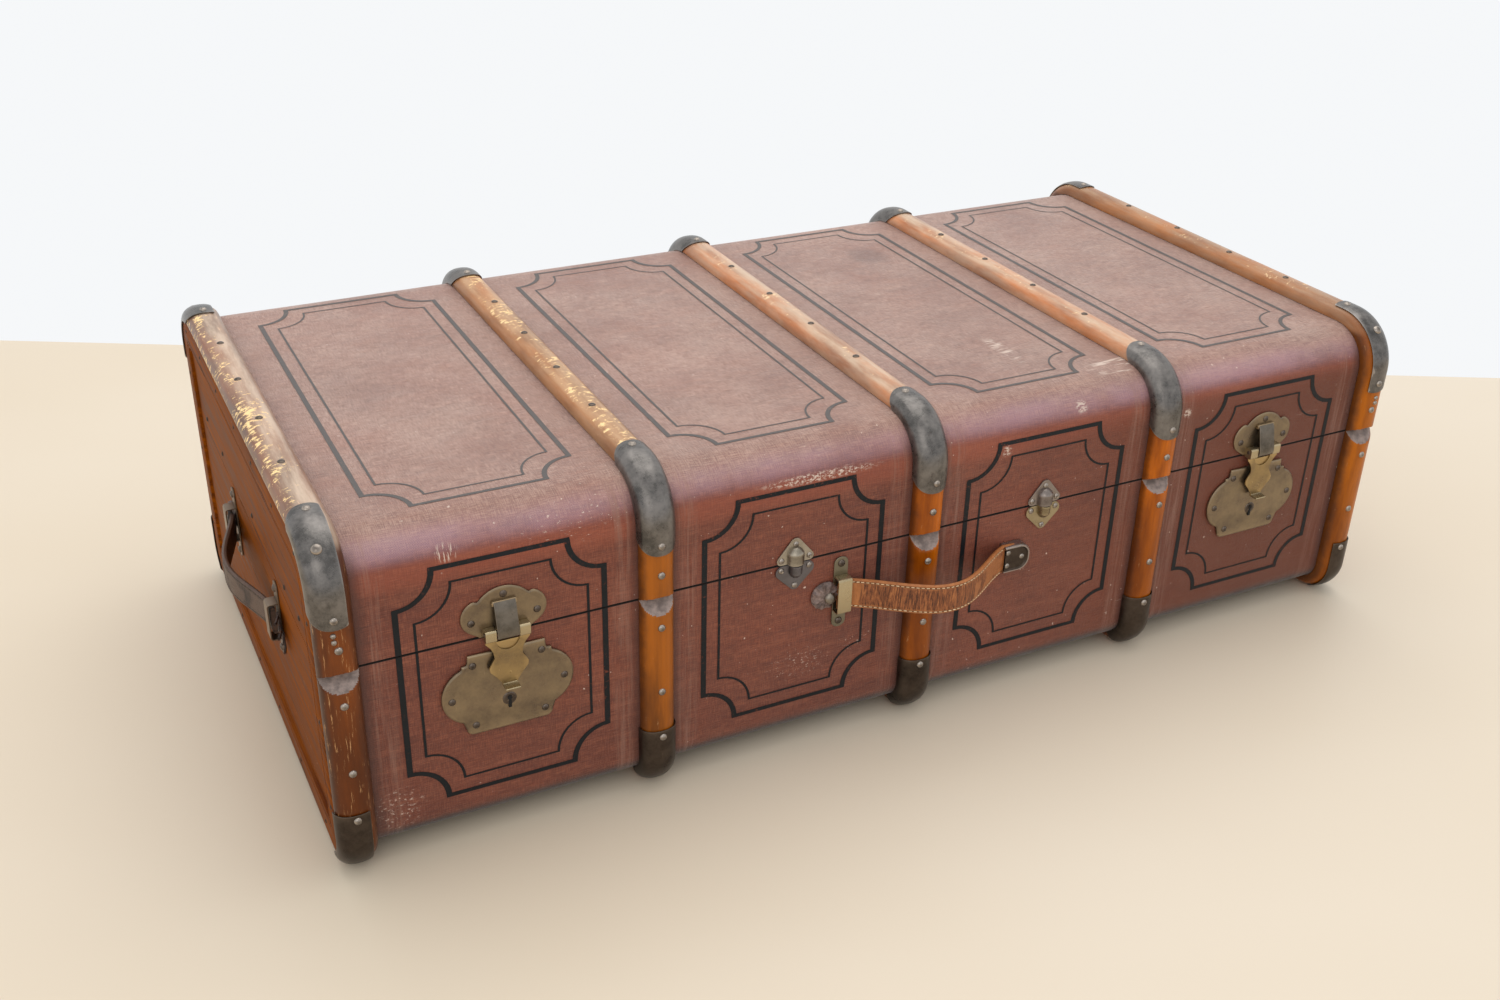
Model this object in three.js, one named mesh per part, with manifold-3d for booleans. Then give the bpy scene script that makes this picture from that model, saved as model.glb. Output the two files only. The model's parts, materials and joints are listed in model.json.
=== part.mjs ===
// Steamer trunk: a canvas covered case with bentwood slats, metal slat caps, locks, catches,
// rear hinges and three leather strap handles. Millimetres, +Z up, front towards -Y.
// The origin is on the floor, under the middle of the trunk.
import * as THREE from 'three';
import { mergeVertices } from 'three/addons/utils/BufferGeometryUtils.js';
import Module from 'manifold-3d';

const wasm = await Module();
wasm.setup();

// ---- driving dimensions ----
const canvasDepth = 535;
const canvasBottom = 13;
const seamHeight = 198;
const canvasTop = 305;
const shellLength = 1080;
const wallThickness = 6;
const topRadius = 40;
const bottomRadius = 24;
const endBoardThickness = 8.7;
const endPanelRecess = 3;
const endBorder = 27;

const slatPitch = 265;
const slatWidth = 31;
const endSlatX = 532.5;
const endSlatWidth = 33;
const slatThickness = 13;
const slatShoulder = 5.5;
const slatRounding = 10.5;
const bodyChamferHeight = 14;
const lidChamferHeight = 5;
const chamferLand = 1;

const capSheet = 1.2;
const footCapTop = 67;
const footCapTurn = 67.5;
const lidCapBottom = 247;
const lidCapReach = 52;
const endCapReach = 10.5;

const rimThickness = 5;
const rimBottom = 160;
const rimTop = 210;
const rimClearance = 1;

const lockX = 397.5;
const catchX = 132.5;
const haspStandOff = 6;
const haspHeight = 203;
const haspPinRadius = 2;
const haspBoreRadius = 2.3;
const haspKnuckleRadius = 4.3;
const haspHalfWidth = 19;
const haspSheetBack = 6.2;
const haspSheetFront = 7.8;
const liftTabHalfWidth = 6.3;
const liftTabReach = 16;
const liftTabBottom = 151;
const liftTabTop = 152.6;
const notchRadius = 10;
const keeperHalfWidth = 9.3;
const lockPlateThickness = 3;
const fittingSheet = 1.5;

const catchBossRadius = 7.7;
const catchBossHeight = 11;
const catchBossSunk = 1;
const catchPlateHeight = 25;

const rearHingeX = 397.5;
const rearHingeStandOff = 6;
const rearKnuckleRadius = 4;
const rearPinRadius = 1.7;
const rearBoreRadius = 2;
const rearLeafThickness = 1.2;
const rearLeafHeight = 45;
const rearWebThickness = 5.7;
const rearWebHeight = 3;
const rearLeafWidth = 50;
const rearLidKnuckle = 9.7;

const strapThickness = 5;
const strapNeckWidth = 6.5;
const strapNeckLength = 14;
const strapTaperStart = 2;
const strapStandOff = 6;
const strapFromLoop = 8;
const frontStrapShape = { width: 30, rise: 42, taperEnd: 11 };
const endStrapShape = { width: 26, rise: 21, taperEnd: 22 };

const loopPlateWidth = 14;
const loopPlateHalfHeight = 37.5;
const loopBandHalfHeight = 18;
const loopBandFront = 11.7;
const loopSheet = 1.6;
const tabRadius = 14;
const tabThickness = 4.2;
const tabTuck = 5;
const tabClearance = 0.5;
const tabFootReach = 3;
const tabFootHalfHeight = 8;

const frontLoopX = -85.5;
const frontLoopZ = 156.5;
const frontCapX = 101;
const frontCapZ = 150.5;
const frontCapHeight = 11.7;
const frontCapSheet = 1.6;
const frontCapPocketEnd = 9;
const frontCapPocketHalfHeight = 7;
const frontCapHalfHeight = 14.5;
const frontCapOpenSide = 13;
const frontCapEndRadius = 12;
const endLoopX = 93;
const endHandleY = -12;
const endHandleZ = 157;

const gap = 0.3;

// ---- derived places ----
const halfDepth = canvasDepth / 2;
const halfShell = shellLength / 2;
const endBoardInner = halfShell + gap;
const endBoardOuter = endBoardInner + endBoardThickness;
const bodyTop = seamHeight - gap / 2;
const lidBottom = seamHeight + gap / 2;
const slatPlaces = [
  { x: -endSlatX, width: endSlatWidth },
  { x: -slatPitch, width: slatWidth },
  { x: 0, width: slatWidth },
  { x: slatPitch, width: slatWidth },
  { x: endSlatX, width: endSlatWidth },
];
const xAxis = new THREE.Vector3(1, 0, 0);
const yAxis = new THREE.Vector3(0, 1, 0);
const zAxis = new THREE.Vector3(0, 0, 1);
const radians = THREE.MathUtils.degToRad;

const trunk = new THREE.Group();

function finish(colour, roughness, metalness) {
  return new THREE.MeshStandardMaterial({ color: colour, roughness, metalness });
}
const finishes = {
  canvas: finish(0x7d4638, 0.8, 0),
  panel: finish(0x9a4f2c, 0.6, 0),
  wood: finish(0x93511d, 0.45, 0),
  gunmetal: finish(0x6e675d, 0.45, 0.9),
  brass: finish(0x7e6b4f, 0.45, 0.9),
  leather: finish(0x6a4028, 0.7, 0),
  softwood: finish(0xb08a5c, 0.8, 0),
};

function addPart(name, geometry, material, place = new THREE.Matrix4(), parent = trunk) {
  const mesh = new THREE.Mesh(geometry, material);
  mesh.name = name;
  mesh.applyMatrix4(place);
  parent.add(mesh);
}

// ---- solids ----
function toSolid(geometry) {
  const bare = geometry.clone();
  bare.deleteAttribute('normal');
  bare.deleteAttribute('uv');
  const merged = mergeVertices(bare, 1e-4);
  return new wasm.Manifold(new wasm.Mesh({
    numProp: 3,
    vertProperties: Float32Array.from(merged.attributes.position.array),
    triVerts: Uint32Array.from(merged.index.array),
  }));
}

function toGeometry(solid) {
  const mesh = solid.getMesh();
  const geometry = new THREE.BufferGeometry();
  geometry.setAttribute('position', new THREE.BufferAttribute(mesh.vertProperties, 3));
  geometry.setIndex(new THREE.BufferAttribute(mesh.triVerts, 1));
  geometry.computeVertexNormals();
  return geometry;
}

function joined(...geometries) {
  return toGeometry(geometries.map(toSolid).reduce((sum, next) => sum.add(next)));
}

function cut(geometry, ...tools) {
  return toGeometry(tools.map(toSolid).reduce((rest, tool) => rest.subtract(tool), toSolid(geometry)));
}

function common(first, second) {
  return toGeometry(toSolid(first).intersect(toSolid(second)));
}

function block(x0, x1, y0, y1, z0, z1) {
  const box = new THREE.BoxGeometry(x1 - x0, y1 - y0, z1 - z0);
  return box.translate((x0 + x1) / 2, (y0 + y1) / 2, (z0 + z1) / 2);
}

function polygon(points) {
  return new THREE.Shape(points.map(([a, b]) => new THREE.Vector2(a, b)));
}

// Extrudes an outline drawn in depth and height along the length of the trunk.
function lengthwisePrism(shape, x0, x1) {
  const geometry = new THREE.ExtrudeGeometry(shape, { depth: x1 - x0, bevelEnabled: false });
  geometry.applyMatrix4(new THREE.Matrix4().makeBasis(yAxis, zAxis, xAxis));
  return geometry.translate(x0, 0, 0);
}

// Extrudes an outline drawn in length and height away from a face that looks towards -Y,
// from one stand-off to another.
function facePrism(shape, from, to, curveSegments = 5) {
  const settings = { depth: to - from, bevelEnabled: false, curveSegments };
  const geometry = new THREE.ExtrudeGeometry(shape, settings);
  geometry.rotateX(Math.PI / 2);
  return geometry.translate(0, -from, 0);
}

function crossRod(x0, x1, standOff, height, radius, sides = 16) {
  const rod = new THREE.CylinderGeometry(radius, radius, x1 - x0, sides);
  rod.rotateZ(Math.PI / 2);
  return rod.translate((x0 + x1) / 2, -standOff, height);
}

// ---- sweeps ----
// A path made of stations. Each has a point and the two directions of the section's axes there.
class GuidedPath extends THREE.Curve {
  constructor(stations) {
    super();
    this.stations = stations;
  }

  getPointAt(u) {
    return this.stations[Math.round(u * (this.stations.length - 1))].point.clone();
  }

  computeFrenetFrames() {
    const normals = this.stations.map((station) => station.side);
    const binormals = this.stations.map((station) => station.out);
    const tangents = normals.map((side, i) => side.clone().cross(binormals[i]));
    return { tangents, normals, binormals };
  }
}

function sweep(section, stations) {
  return new THREE.ExtrudeGeometry(section, {
    steps: stations.length - 1,
    bevelEnabled: false,
    curveSegments: 2,
    extrudePath: new GuidedPath(stations),
  });
}

// Stations on the canvas surface, turning from the front down and under to the rear,
// or from the rear up and over to the front. The angle is that of the outward direction.
function wrapStation(y, z, angle) {
  const out = new THREE.Vector3(0, Math.cos(radians(angle)), Math.sin(radians(angle)));
  return { point: new THREE.Vector3(0, y, z), side: xAxis, out };
}

function cornerStations(y, z, radius, from, to, segments) {
  return Array.from({ length: segments + 1 }, (_, i) => {
    const angle = from + (to - from) * i / segments;
    const turn = radians(angle);
    return wrapStation(y + radius * Math.cos(turn), z + radius * Math.sin(turn), angle);
  });
}

const bottomY = halfDepth - bottomRadius;
const bottomZ = canvasBottom + bottomRadius;
const topY = halfDepth - topRadius;
const topZ = canvasTop - topRadius;
const bodyWrap = [
  wrapStation(-halfDepth, bodyTop, 180),
  ...cornerStations(-bottomY, bottomZ, bottomRadius, 180, 270, 4),
  ...cornerStations(bottomY, bottomZ, bottomRadius, 270, 360, 4),
  wrapStation(halfDepth, bodyTop, 360),
];
const lidWrap = [
  wrapStation(halfDepth, lidBottom, 0),
  ...cornerStations(topY, topZ, topRadius, 0, 90, 4),
  ...cornerStations(-topY, topZ, topRadius, 90, 180, 4),
  wrapStation(-halfDepth, lidBottom, 180),
];

// The outline of a wrap, moved inwards by an inset, as points in depth and height.
function wrapOutline(stations, inset) {
  return stations.map(({ point, out }) => {
    const moved = point.clone().addScaledVector(out, -inset);
    return [moved.y, moved.z];
  });
}

// ---- case ----
function shell(stations) {
  const outer = wrapOutline(stations, 0);
  const inner = wrapOutline(stations, wallThickness).reverse();
  return lengthwisePrism(polygon([...outer, ...inner]), -halfShell, halfShell);
}

// An end board covers the edge of the shell. Its panel is sunk inside a raised border that
// follows the outline but leaves the seam open.
function endBoard(stations, panels, side) {
  const board = lengthwisePrism(polygon(wrapOutline(stations, 0)), endBoardInner, endBoardOuter);
  const geometry = cut(board, ...panels);
  return side < 0 ? geometry.rotateZ(Math.PI) : geometry;
}

const panelHalf = halfDepth - endBorder;
const panelFloor = endBoardOuter - endPanelRecess;
const bodyPanels = [
  block(panelFloor, endBoardOuter + 1, -panelHalf, panelHalf, canvasBottom + endBorder, seamHeight),
];
const lidPanels = [
  lengthwisePrism(polygon(wrapOutline(lidWrap, endBorder)), panelFloor, endBoardOuter + 1),
  block(panelFloor, endBoardOuter + 1, -panelHalf, panelHalf, seamHeight, seamHeight + endBorder),
];

addPart('body_shell', shell(bodyWrap), finishes.canvas);
addPart('lid_shell', shell(lidWrap), finishes.canvas);
for (const [side, word] of [[-1, 'left'], [1, 'right']]) {
  addPart(`body_end_${word}`, endBoard(bodyWrap, bodyPanels, side), finishes.panel);
  addPart(`lid_end_${word}`, endBoard(lidWrap, lidPanels, side), finishes.panel);
}

function rim() {
  const halfX = endBoardInner - rimClearance;
  const halfY = halfDepth - wallThickness - rimClearance;
  const innerX = halfX - rimThickness;
  const innerY = halfY - rimThickness;
  const ring = block(-halfX, halfX, -halfY, halfY, rimBottom, rimTop);
  return cut(ring, block(-innerX, innerX, -innerY, innerY, rimBottom - 1, rimTop + 1));
}
addPart('body_rim', rim(), finishes.softwood);

// ---- slats ----
// The outline of a slat: flat on the canvas, upright flanks, rounded shoulders, a flat crown.
function ribOutline(shape, half, base, grow, clockwise) {
  const crown = slatThickness + grow;
  const rounding = slatRounding + grow;
  const rise = crown - slatShoulder;
  if (clockwise) {
    shape.lineTo(-half, base);
    shape.absellipse(rounding - half, slatShoulder, rounding, rise, Math.PI, Math.PI / 2, true);
    shape.absellipse(half - rounding, slatShoulder, rounding, rise, Math.PI / 2, 0, true);
    shape.lineTo(half, base);
  } else {
    shape.moveTo(half, base);
    shape.absellipse(half - rounding, slatShoulder, rounding, rise, 0, Math.PI / 2, false);
    shape.absellipse(rounding - half, slatShoulder, rounding, rise, Math.PI / 2, Math.PI, false);
    shape.lineTo(-half, base);
  }
}

function slatSection(width) {
  const shape = new THREE.Shape();
  ribOutline(shape, width / 2, gap, 0, false);
  return shape;
}

function capSection(width) {
  const shape = new THREE.Shape();
  ribOutline(shape, width / 2 + gap + capSheet, gap, gap + capSheet, false);
  ribOutline(shape, width / 2 + gap, gap, gap, true);
  return shape;
}

// A wedge that slopes a slat's end down to a thin edge at the seam.
function chamferWedge(side, direction, height) {
  const slope = (slatThickness - chamferLand) / height;
  const thick = slatThickness + 2;
  const far = (thick - chamferLand) / slope;
  const wedge = polygon([
    [side * (halfDepth + chamferLand), seamHeight],
    [side * (halfDepth + thick), seamHeight],
    [side * (halfDepth + thick), seamHeight + direction * far],
  ]);
  return lengthwisePrism(wedge, -endSlatWidth, endSlatWidth);
}

const bodyWedges = [-1, 1].map((side) => chamferWedge(side, -1, bodyChamferHeight));
const lidWedges = [-1, 1].map((side) => chamferWedge(side, 1, lidChamferHeight));

const footCapWrap = [
  wrapStation(-halfDepth, footCapTop, 180),
  ...cornerStations(-bottomY, bottomZ, bottomRadius, 180, 180 + footCapTurn, 3),
];
const lidCapWrap = [
  wrapStation(lidCapReach - halfDepth, canvasTop, 90),
  ...cornerStations(-topY, topZ, topRadius, 90, 180, 4),
  wrapStation(-halfDepth, lidCapBottom, 180),
];

// Cuts a cap short of one flank of its slat. Side is 1 or -1, or 0 for a cap that covers both flanks.
function openOnOneSide(cap, side) {
  if (side === 0) return cap;
  const edges = [side * endCapReach, side * endSlatWidth].sort((a, b) => a - b);
  return cut(cap, block(...edges, -canvasDepth, canvasDepth, -canvasBottom, canvasTop + canvasBottom * 2));
}

slatPlaces.forEach(({ x, width }, index) => {
  const number = index + 1;
  const place = new THREE.Matrix4().makeTranslation(x, 0, 0);
  const turned = place.clone().multiply(new THREE.Matrix4().makeRotationZ(Math.PI));
  const bodySlat = cut(sweep(slatSection(width), bodyWrap), ...bodyWedges);
  const lidSlat = cut(sweep(slatSection(width), lidWrap), ...lidWedges);
  const footCap = sweep(capSection(width), footCapWrap);
  const lidCap = sweep(capSection(width), lidCapWrap);
  addPart(`body_slat_${number}`, bodySlat, finishes.wood, place);
  addPart(`lid_slat_${number}`, lidSlat, finishes.wood, place);
  const inward = width === endSlatWidth ? -Math.sign(x) : 0;
  addPart(`front_foot_cap_${number}`, openOnOneSide(footCap, inward), finishes.gunmetal, place);
  addPart(`rear_foot_cap_${number}`, openOnOneSide(footCap, -inward), finishes.gunmetal, turned);
  addPart(`front_lid_cap_${number}`, openOnOneSide(lidCap, inward), finishes.gunmetal, place);
  addPart(`rear_lid_cap_${number}`, openOnOneSide(lidCap, -inward), finishes.gunmetal, turned);
});

// ---- locks ----
// The lock plate has a flat top and foot and a round lobe on each side.
function lockPlateShape() {
  const shape = new THREE.Shape();
  const lobeTurn = radians(66.5);
  shape.moveTo(-31, 107);
  shape.lineTo(31, 107);
  shape.absarc(31, 113.5, 6.5, -Math.PI / 2, 0, false);
  shape.absarc(28.9, 146, 27.8, -lobeTurn, lobeTurn, false);
  shape.lineTo(38.5, 175.5);
  shape.lineTo(33.5, 175.5);
  shape.lineTo(33, 184);
  shape.lineTo(-33, 184);
  shape.lineTo(-33.5, 175.5);
  shape.lineTo(-38.5, 175.5);
  shape.absarc(-28.9, 146, 27.8, Math.PI - lobeTurn, Math.PI + lobeTurn, false);
  shape.absarc(-31, 113.5, 6.5, Math.PI, 1.5 * Math.PI, false);
  return shape;
}

// The plate on the lid has a round top between two small steps and two round ears.
function lockLidPlateShape() {
  const shape = new THREE.Shape();
  const foot = lidBottom + gap / 2;
  const domeFrom = radians(40);
  shape.moveTo(-21.4, foot);
  shape.lineTo(21.4, foot);
  shape.absarc(20, 217.5, 16.2, radians(-50), radians(68), false);
  shape.absarc(0, 215, 27, domeFrom, Math.PI - domeFrom, false);
  shape.absarc(-20, 217.5, 16.2, radians(112), radians(230), false);
  return shape;
}

// The keeper strap bulges over the hasp's pin and holds it to the plate.
function lockLidPlate() {
  const bulge = polygon([
    [-1, 230],
    [-3.5, 231],
    [-11, 209],
    [-12, 203],
    [-10.5, 198.8],
    [-6, 198.6],
    [-1, 200],
  ]);
  const plate = facePrism(lockLidPlateShape(), gap, fittingSheet);
  const keeper = lengthwisePrism(bulge, -keeperHalfWidth, keeperHalfWidth);
  const pin = crossRod(-haspHalfWidth, haspHalfWidth, haspStandOff, haspHeight, haspPinRadius);
  return joined(plate, keeper, pin);
}

// The hasp's tongue narrows, flares and tapers to a lift tab that is folded outwards.
function haspTongueShape() {
  const shape = new THREE.Shape();
  const top = haspHeight - haspBoreRadius - gap;
  const notchHeight = 196;
  shape.moveTo(-7, 155);
  shape.lineTo(-liftTabHalfWidth, liftTabBottom);
  shape.lineTo(liftTabHalfWidth, liftTabBottom);
  shape.lineTo(7, 155);
  shape.lineTo(16.5, 168);
  shape.lineTo(16, 174);
  shape.lineTo(11.6, 180);
  shape.lineTo(14, 190);
  shape.lineTo(haspHalfWidth, notchHeight);
  shape.lineTo(haspHalfWidth, top);
  shape.lineTo(notchRadius, top);
  shape.lineTo(notchRadius, notchHeight);
  shape.absarc(0, notchHeight, notchRadius, 0, -Math.PI, true);
  shape.lineTo(-notchRadius, top);
  shape.lineTo(-haspHalfWidth, top);
  shape.lineTo(-haspHalfWidth, notchHeight);
  shape.lineTo(-14, 190);
  shape.lineTo(-11.6, 180);
  shape.lineTo(-16, 174);
  shape.lineTo(-16.5, 168);
  return shape;
}

function hasp() {
  const inner = keeperHalfWidth + gap;
  const outer = haspHalfWidth;
  const rightKnuckle = crossRod(inner, outer, haspStandOff, haspHeight, haspKnuckleRadius);
  const leftKnuckle = crossRod(-outer, -inner, haspStandOff, haspHeight, haspKnuckleRadius);
  const tongue = facePrism(haspTongueShape(), haspSheetBack, haspSheetFront);
  const liftTab = block(
    -liftTabHalfWidth,
    liftTabHalfWidth,
    -liftTabReach,
    -haspSheetBack,
    liftTabBottom,
    liftTabTop,
  );
  const bore = crossRod(-outer - 1, outer + 1, haspStandOff, haspHeight, haspBoreRadius);
  return cut(joined(rightKnuckle, leftKnuckle, tongue, liftTab), bore);
}

// ---- catches ----
const catchFoot = 0.4;

function catchPlateShape() {
  const shape = new THREE.Shape();
  const ear = 4;
  const crown = 6.5;
  const turn = radians(40);
  shape.moveTo(-14, catchFoot);
  shape.lineTo(14, catchFoot);
  shape.absarc(14, catchFoot + ear, ear, -Math.PI / 2, turn, false);
  shape.absarc(0, catchPlateHeight - crown, crown, turn, Math.PI - turn, false);
  shape.absarc(-14, catchFoot + ear, ear, Math.PI - turn, 1.5 * Math.PI, false);
  return shape;
}

// Half a catch: a plate with a round boss, drawn above the seam and turned over for the body.
function catchHalf() {
  const away = -catchBossSunk;
  const boss = new THREE.CylinderGeometry(catchBossRadius, catchBossRadius, catchBossHeight, 16);
  boss.rotateX(Math.PI / 2).translate(0, away, catchFoot + catchBossHeight / 2);
  const dome = new THREE.SphereGeometry(catchBossRadius, 16, 8);
  dome.rotateX(Math.PI / 2).translate(0, away, catchFoot + catchBossHeight);
  const reach = catchBossRadius + 2;
  const behind = block(-reach, reach, -gap, reach, -1, catchPlateHeight);
  const plate = facePrism(catchPlateShape(), gap, gap + fittingSheet);
  return cut(joined(plate, boss, dome), behind);
}

const lockPlate = facePrism(lockPlateShape(), gap, gap + lockPlateThickness);
for (const [side, word] of [[-1, 'left'], [1, 'right']]) {
  const lockPlace = new THREE.Matrix4().makeTranslation(side * lockX, -halfDepth, 0);
  const catchPlace = new THREE.Matrix4().makeTranslation(side * catchX, -halfDepth, seamHeight);
  const lowerCatch = catchPlace.clone().multiply(new THREE.Matrix4().makeRotationY(Math.PI));
  addPart(`lock_plate_${word}`, lockPlate, finishes.brass, lockPlace);
  addPart(`lock_lid_plate_${word}`, lockLidPlate(), finishes.gunmetal, lockPlace);
  addPart(`hasp_${word}`, hasp(), finishes.brass, lockPlace);
  addPart(`catch_upper_${word}`, catchHalf(), finishes.brass, catchPlace);
  addPart(`catch_lower_${word}`, catchHalf(), finishes.gunmetal, lowerCatch);
}

// ---- rear hinges ----
// Both leaves are drawn as on a face that looks towards -Y, and turned to the back.
// The direction is up for the lid's leaf and down for the body's.
function leafBlock(x0, x1, thickness, height, direction) {
  const near = seamHeight + direction * gap;
  const far = seamHeight + direction * height;
  return block(x0, x1, -gap - thickness, -gap, Math.min(near, far), Math.max(near, far));
}

function rearKnuckle(x0, x1, radius) {
  return crossRod(x0, x1, rearHingeStandOff, seamHeight, radius);
}

function bodyLeaf() {
  const half = rearLeafWidth / 2;
  const inner = rearLidKnuckle + gap;
  return joined(
    leafBlock(-half, half, rearLeafThickness, rearLeafHeight, -1),
    leafBlock(-half, -inner, rearWebThickness, rearWebHeight, -1),
    leafBlock(inner, half, rearWebThickness, rearWebHeight, -1),
    rearKnuckle(-half, -inner, rearKnuckleRadius),
    rearKnuckle(inner, half, rearKnuckleRadius),
    rearKnuckle(-half, half, rearPinRadius),
  );
}

function lidLeaf() {
  const half = rearLeafWidth / 2;
  const solid = joined(
    leafBlock(-half, half, rearLeafThickness, rearLeafHeight, 1),
    leafBlock(-rearLidKnuckle, rearLidKnuckle, rearWebThickness, rearWebHeight, 1),
    rearKnuckle(-rearLidKnuckle, rearLidKnuckle, rearKnuckleRadius),
  );
  return cut(solid, rearKnuckle(-half, half, rearBoreRadius));
}

for (const [side, word] of [[-1, 'left'], [1, 'right']]) {
  const place = new THREE.Matrix4().makeTranslation(side * rearHingeX, halfDepth, 0);
  place.multiply(new THREE.Matrix4().makeRotationZ(Math.PI));
  addPart(`hinge_body_leaf_${word}`, bodyLeaf(), finishes.gunmetal, place);
  addPart(`hinge_lid_leaf_${word}`, lidLeaf(), finishes.gunmetal, place);
}

// ---- handles ----
// Each handle is drawn on a face that looks towards -Y, with heights from its own middle.
// A wall plate with a band that bridges the strap, and the strap end's round tab beside it.
// It is drawn with the tab on the right, and turned over if the tab is on the left.
function handleLoop(tabSide) {
  const half = loopPlateWidth / 2;
  const sheetFront = gap + loopSheet;
  const tabMiddle = half + tabRadius - tabTuck;
  const tabInner = half + tabClearance;
  const tall = loopPlateHalfHeight;
  const high = loopBandHalfHeight;
  const hole = high - loopSheet;
  const plate = block(-half, half, -sheetFront, -gap, -tall, tall);
  const band = block(-half, half, -loopBandFront, -gap, -high, high);
  const opening = block(-half - 1, half + 1, loopSheet - loopBandFront, -sheetFront, -hole, hole);
  const disc = new THREE.Shape();
  disc.absarc(tabMiddle, 0, tabRadius, 0, 2 * Math.PI, false);
  const clearing = block(-half, tabInner, -loopBandFront, 0, -tabRadius, tabRadius);
  const tab = cut(facePrism(disc, gap, gap + tabThickness, 10), clearing);
  const foot = block(0, half + tabFootReach, -sheetFront, -gap, -tabFootHalfHeight, tabFootHalfHeight);
  const loop = joined(cut(band, opening), plate, foot, tab);
  return tabSide < 0 ? loop.rotateY(Math.PI) : loop;
}

// A rounded cover over the strap's other end, open towards the strap.
function handleCap() {
  const outline = new THREE.Shape();
  const arcX = 4;
  const arcZ = frontCapHalfHeight - frontCapEndRadius;
  const quarter = Math.PI / 2;
  outline.moveTo(-frontCapOpenSide, -frontCapHalfHeight);
  outline.absarc(arcX, -arcZ, frontCapEndRadius, -quarter, 0, false);
  outline.absarc(arcX, arcZ, frontCapEndRadius, 0, quarter, false);
  outline.lineTo(-frontCapOpenSide, frontCapHalfHeight);
  const front = gap + frontCapHeight;
  const half = frontCapPocketHalfHeight;
  const pocket = block(
    -frontCapOpenSide - 1,
    frontCapPocketEnd,
    frontCapSheet - front,
    -frontCapSheet,
    -half,
    half,
  );
  return cut(facePrism(outline, gap, front), pocket);
}

// The strap bows away from the face between its ends, and runs flat through them.
function strapStations(x0, x1, rise) {
  const middle = (x0 + x1) / 2;
  const half = (x1 - x0) / 2;
  const count = 14;
  const profile = (u) => 0.5 * (1 - u * u) + 0.5 * Math.cos(Math.PI * u / 2) ** 2;
  const slope = (u) => (-u - Math.PI / 4 * Math.sin(Math.PI * u)) * rise / half;
  const station = (x, away, tilt) => ({
    point: new THREE.Vector3(x, -away, 0),
    side: zAxis,
    out: new THREE.Vector3(-tilt, -1, 0).normalize(),
  });
  const bow = Array.from({ length: count + 1 }, (_, i) => {
    const u = 2 * i / count - 1;
    const flatEnd = i === 0 || i === count;
    const away = strapStandOff + rise * profile(u);
    return station(middle + half * u, away, flatEnd ? 0 : slope(u));
  });
  const first = station(x0 - strapNeckLength, strapStandOff, 0);
  const last = station(x1 + strapNeckLength, strapStandOff, 0);
  return [first, ...bow, last];
}

function strap(x0, x1, { width, rise, taperEnd }) {
  const band = strapThickness / 2;
  const wide = width / 2;
  const slim = strapNeckWidth / 2;
  const section = polygon([[-wide, -band], [wide, -band], [wide, band], [-wide, band]]);
  const upper = [
    [x1 + strapNeckLength + 1, slim],
    [x1 - strapTaperStart, slim],
    [x1 - taperEnd, wide],
    [x0 + taperEnd, wide],
    [x0 + strapTaperStart, slim],
    [x0 - strapNeckLength - 1, slim],
  ];
  const lower = upper.map(([x, z]) => [x, -z]).reverse();
  const plan = facePrism(polygon([...lower, ...upper]), -strapThickness, 2 * rise);
  return common(sweep(section, strapStations(x0, x1, rise)), plan);
}

const frontSpan = frontCapX - frontLoopX;
const frontTilt = Math.atan((frontLoopZ - frontCapZ) / frontSpan);
const frontFace = new THREE.Group();
frontFace.position.set(0, -halfDepth, 0);
trunk.add(frontFace);
const loopPlace = new THREE.Matrix4().makeTranslation(frontLoopX, 0, frontLoopZ);
const capPlace = new THREE.Matrix4().makeTranslation(frontCapX, 0, frontCapZ);
const strapPlace = loopPlace.clone().multiply(new THREE.Matrix4().makeRotationY(frontTilt));
const frontStrapEnd = frontSpan / Math.cos(frontTilt) - strapNeckLength;
const frontStrap = strap(strapFromLoop, frontStrapEnd, frontStrapShape);
addPart('front_handle_loop', handleLoop(-1), finishes.brass, loopPlace, frontFace);
addPart('front_handle_cap', handleCap(), finishes.gunmetal, capPlace, frontFace);
addPart('front_handle_strap', frontStrap, finishes.leather, strapPlace, frontFace);

const endStrapHalf = endLoopX - strapFromLoop;
for (const [side, word] of [[-1, 'left'], [1, 'right']]) {
  const face = new THREE.Group();
  face.position.set(side * panelFloor, endHandleY, endHandleZ);
  face.rotation.z = side * Math.PI / 2;
  trunk.add(face);
  for (const [end, place] of [[side, 'rear'], [-side, 'front']]) {
    const at = new THREE.Matrix4().makeTranslation(end * endLoopX, 0, 0);
    addPart(`${word}_handle_loop_${place}`, handleLoop(end), finishes.gunmetal, at, face);
  }
  const endStrap = strap(-endStrapHalf, endStrapHalf, endStrapShape);
  addPart(`${word}_handle_strap`, endStrap, finishes.leather, new THREE.Matrix4(), face);
}

export default trunk;
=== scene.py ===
import json
import math
import random

import bmesh
import bpy
from mathutils import Matrix, Vector, noise


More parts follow.
